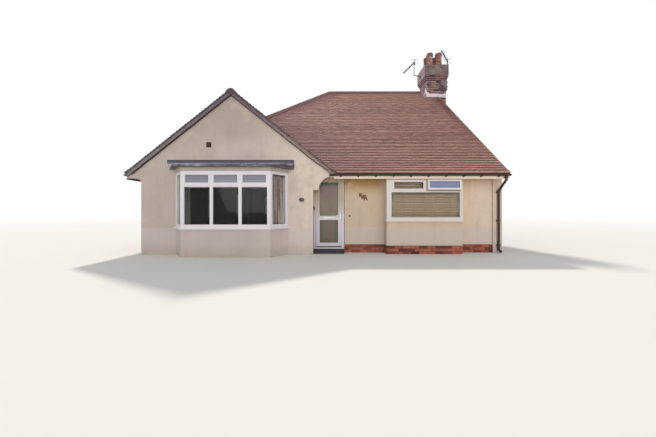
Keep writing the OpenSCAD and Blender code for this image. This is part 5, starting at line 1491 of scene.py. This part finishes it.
def aerial_clips():
    """Plastic holders of the elements along the two booms, and the caps on the masts."""
    b = Build()
    for mast, way in AERIALS:
        ux, uy = way[0] / math.hypot(*way), way[1] / math.hypot(*way)

        def place(a, w, h):
            return (mast[0] + ux * a - uy * w, mast[1] + uy * a + ux * w, mast[2] + h)

        for i in range(ELEMENTS):
            a = BOOM_L / 6 + (i + 0.5) * BOOM_L * 5 / 6 / ELEMENTS - 0.064
            b.box((a - 0.02, -0.017, -0.019), (a + 0.02, 0.017, 0.019), place=place)
        b.box((-0.03, -0.026, -0.045), (0.05, 0.026, 0.03), place=place)
    b.piece("aerial_clips", BLACK)


for make in (window_glazing, door_glazing, back_door_trim, window_dressing, box_blind, door_things,
             bracket_ribs, aerial_clips):
    make()


# Floor, lamps and camera
FLOOR_HALF, WHITE_FROM, WHITE_AT = 150, 14, 45
SENSOR_MM, FRAME_PX, FOCAL_PX, RISE_PX = 36, 656, 290, -8.5
CAMERA_AT = (0.07, -13.52, 1.22)


def stage():
    """A pale floor that turns plain white far out, where the camera sees it."""
    k = Mat("floor_stage", 0.9, Base_Color=(214, 212, 208))
    d = k.node("ShaderNodeVectorMath", k.at)
    d.operation = "LENGTH"
    share = Value(k, d.outputs["Value"]).span(WHITE_FROM, WHITE_AT) * directly_seen(k.nt)
    mix_shaders(k.nt, share.socket, k.bsdf.outputs[0], k.node("ShaderNodeEmission").outputs[0],
                k.nt.nodes["Material Output"].inputs["Surface"])
    mesh = bpy.data.meshes.new("floor")
    corners = rectangle(-FLOOR_HALF, FLOOR_HALF, -FLOOR_HALF, FLOOR_HALF)
    mesh.from_pydata([(x, y, -0.001) for x, y in corners], [], [(0, 1, 2, 3)])
    mesh.materials.append(k.m)
    show(bpy.data.objects.new("floor", mesh))


def world():
    w = bpy.data.worlds.new("studio")
    bpy.context.scene.world = w
    w.use_nodes = True
    nt = w.node_tree
    nt.nodes.clear()
    out = nt.nodes.new("ShaderNodeOutputWorld")
    light, white = (nt.nodes.new("ShaderNodeBackground") for _ in range(2))
    light.inputs[0].default_value = (0.95, 0.97, 1.0, 1)
    light.inputs[1].default_value = 0.68
    white.inputs[0].default_value = (1, 1, 1, 1)
    mix_shaders(nt, directly_seen(nt), light.outputs[0], white.outputs[0], out.inputs[0])


def lamp(name, toward, strength, angle, colour):
    data = bpy.data.lights.new(name, "SUN")
    data.energy, data.angle, data.color = strength, math.radians(angle), colour
    ob = show(bpy.data.objects.new(name, data))
    ob.rotation_mode = "QUATERNION"
    ob.rotation_quaternion = Vector(toward).to_track_quat("-Z", "Y")
    ob.location = (0, 0, 12)


def camera():
    """Stands level before the house, where the photograph was taken."""
    data = bpy.data.cameras.new("camera")
    data.sensor_width = SENSOR_MM
    data.lens = FOCAL_PX / FRAME_PX * SENSOR_MM
    data.shift_y = RISE_PX / FRAME_PX
    data.clip_start, data.clip_end = 0.05, 500
    ob = show(bpy.data.objects.new("camera", data))
    ob.location = CAMERA_AT
    ob.rotation_euler = (math.radians(90), 0, 0)
    bpy.context.scene.camera = ob


stage()
world()
lamp("high_lamp", (0.1, -0.65, -0.76), 2.4, 4, (1.0, 0.96, 0.9))
lamp("front_lamp", (-0.1, 0.97, -0.2), 1.35, 55, (1.0, 0.98, 0.96))
camera()
bpy.context.scene.view_settings.view_transform = "Standard"
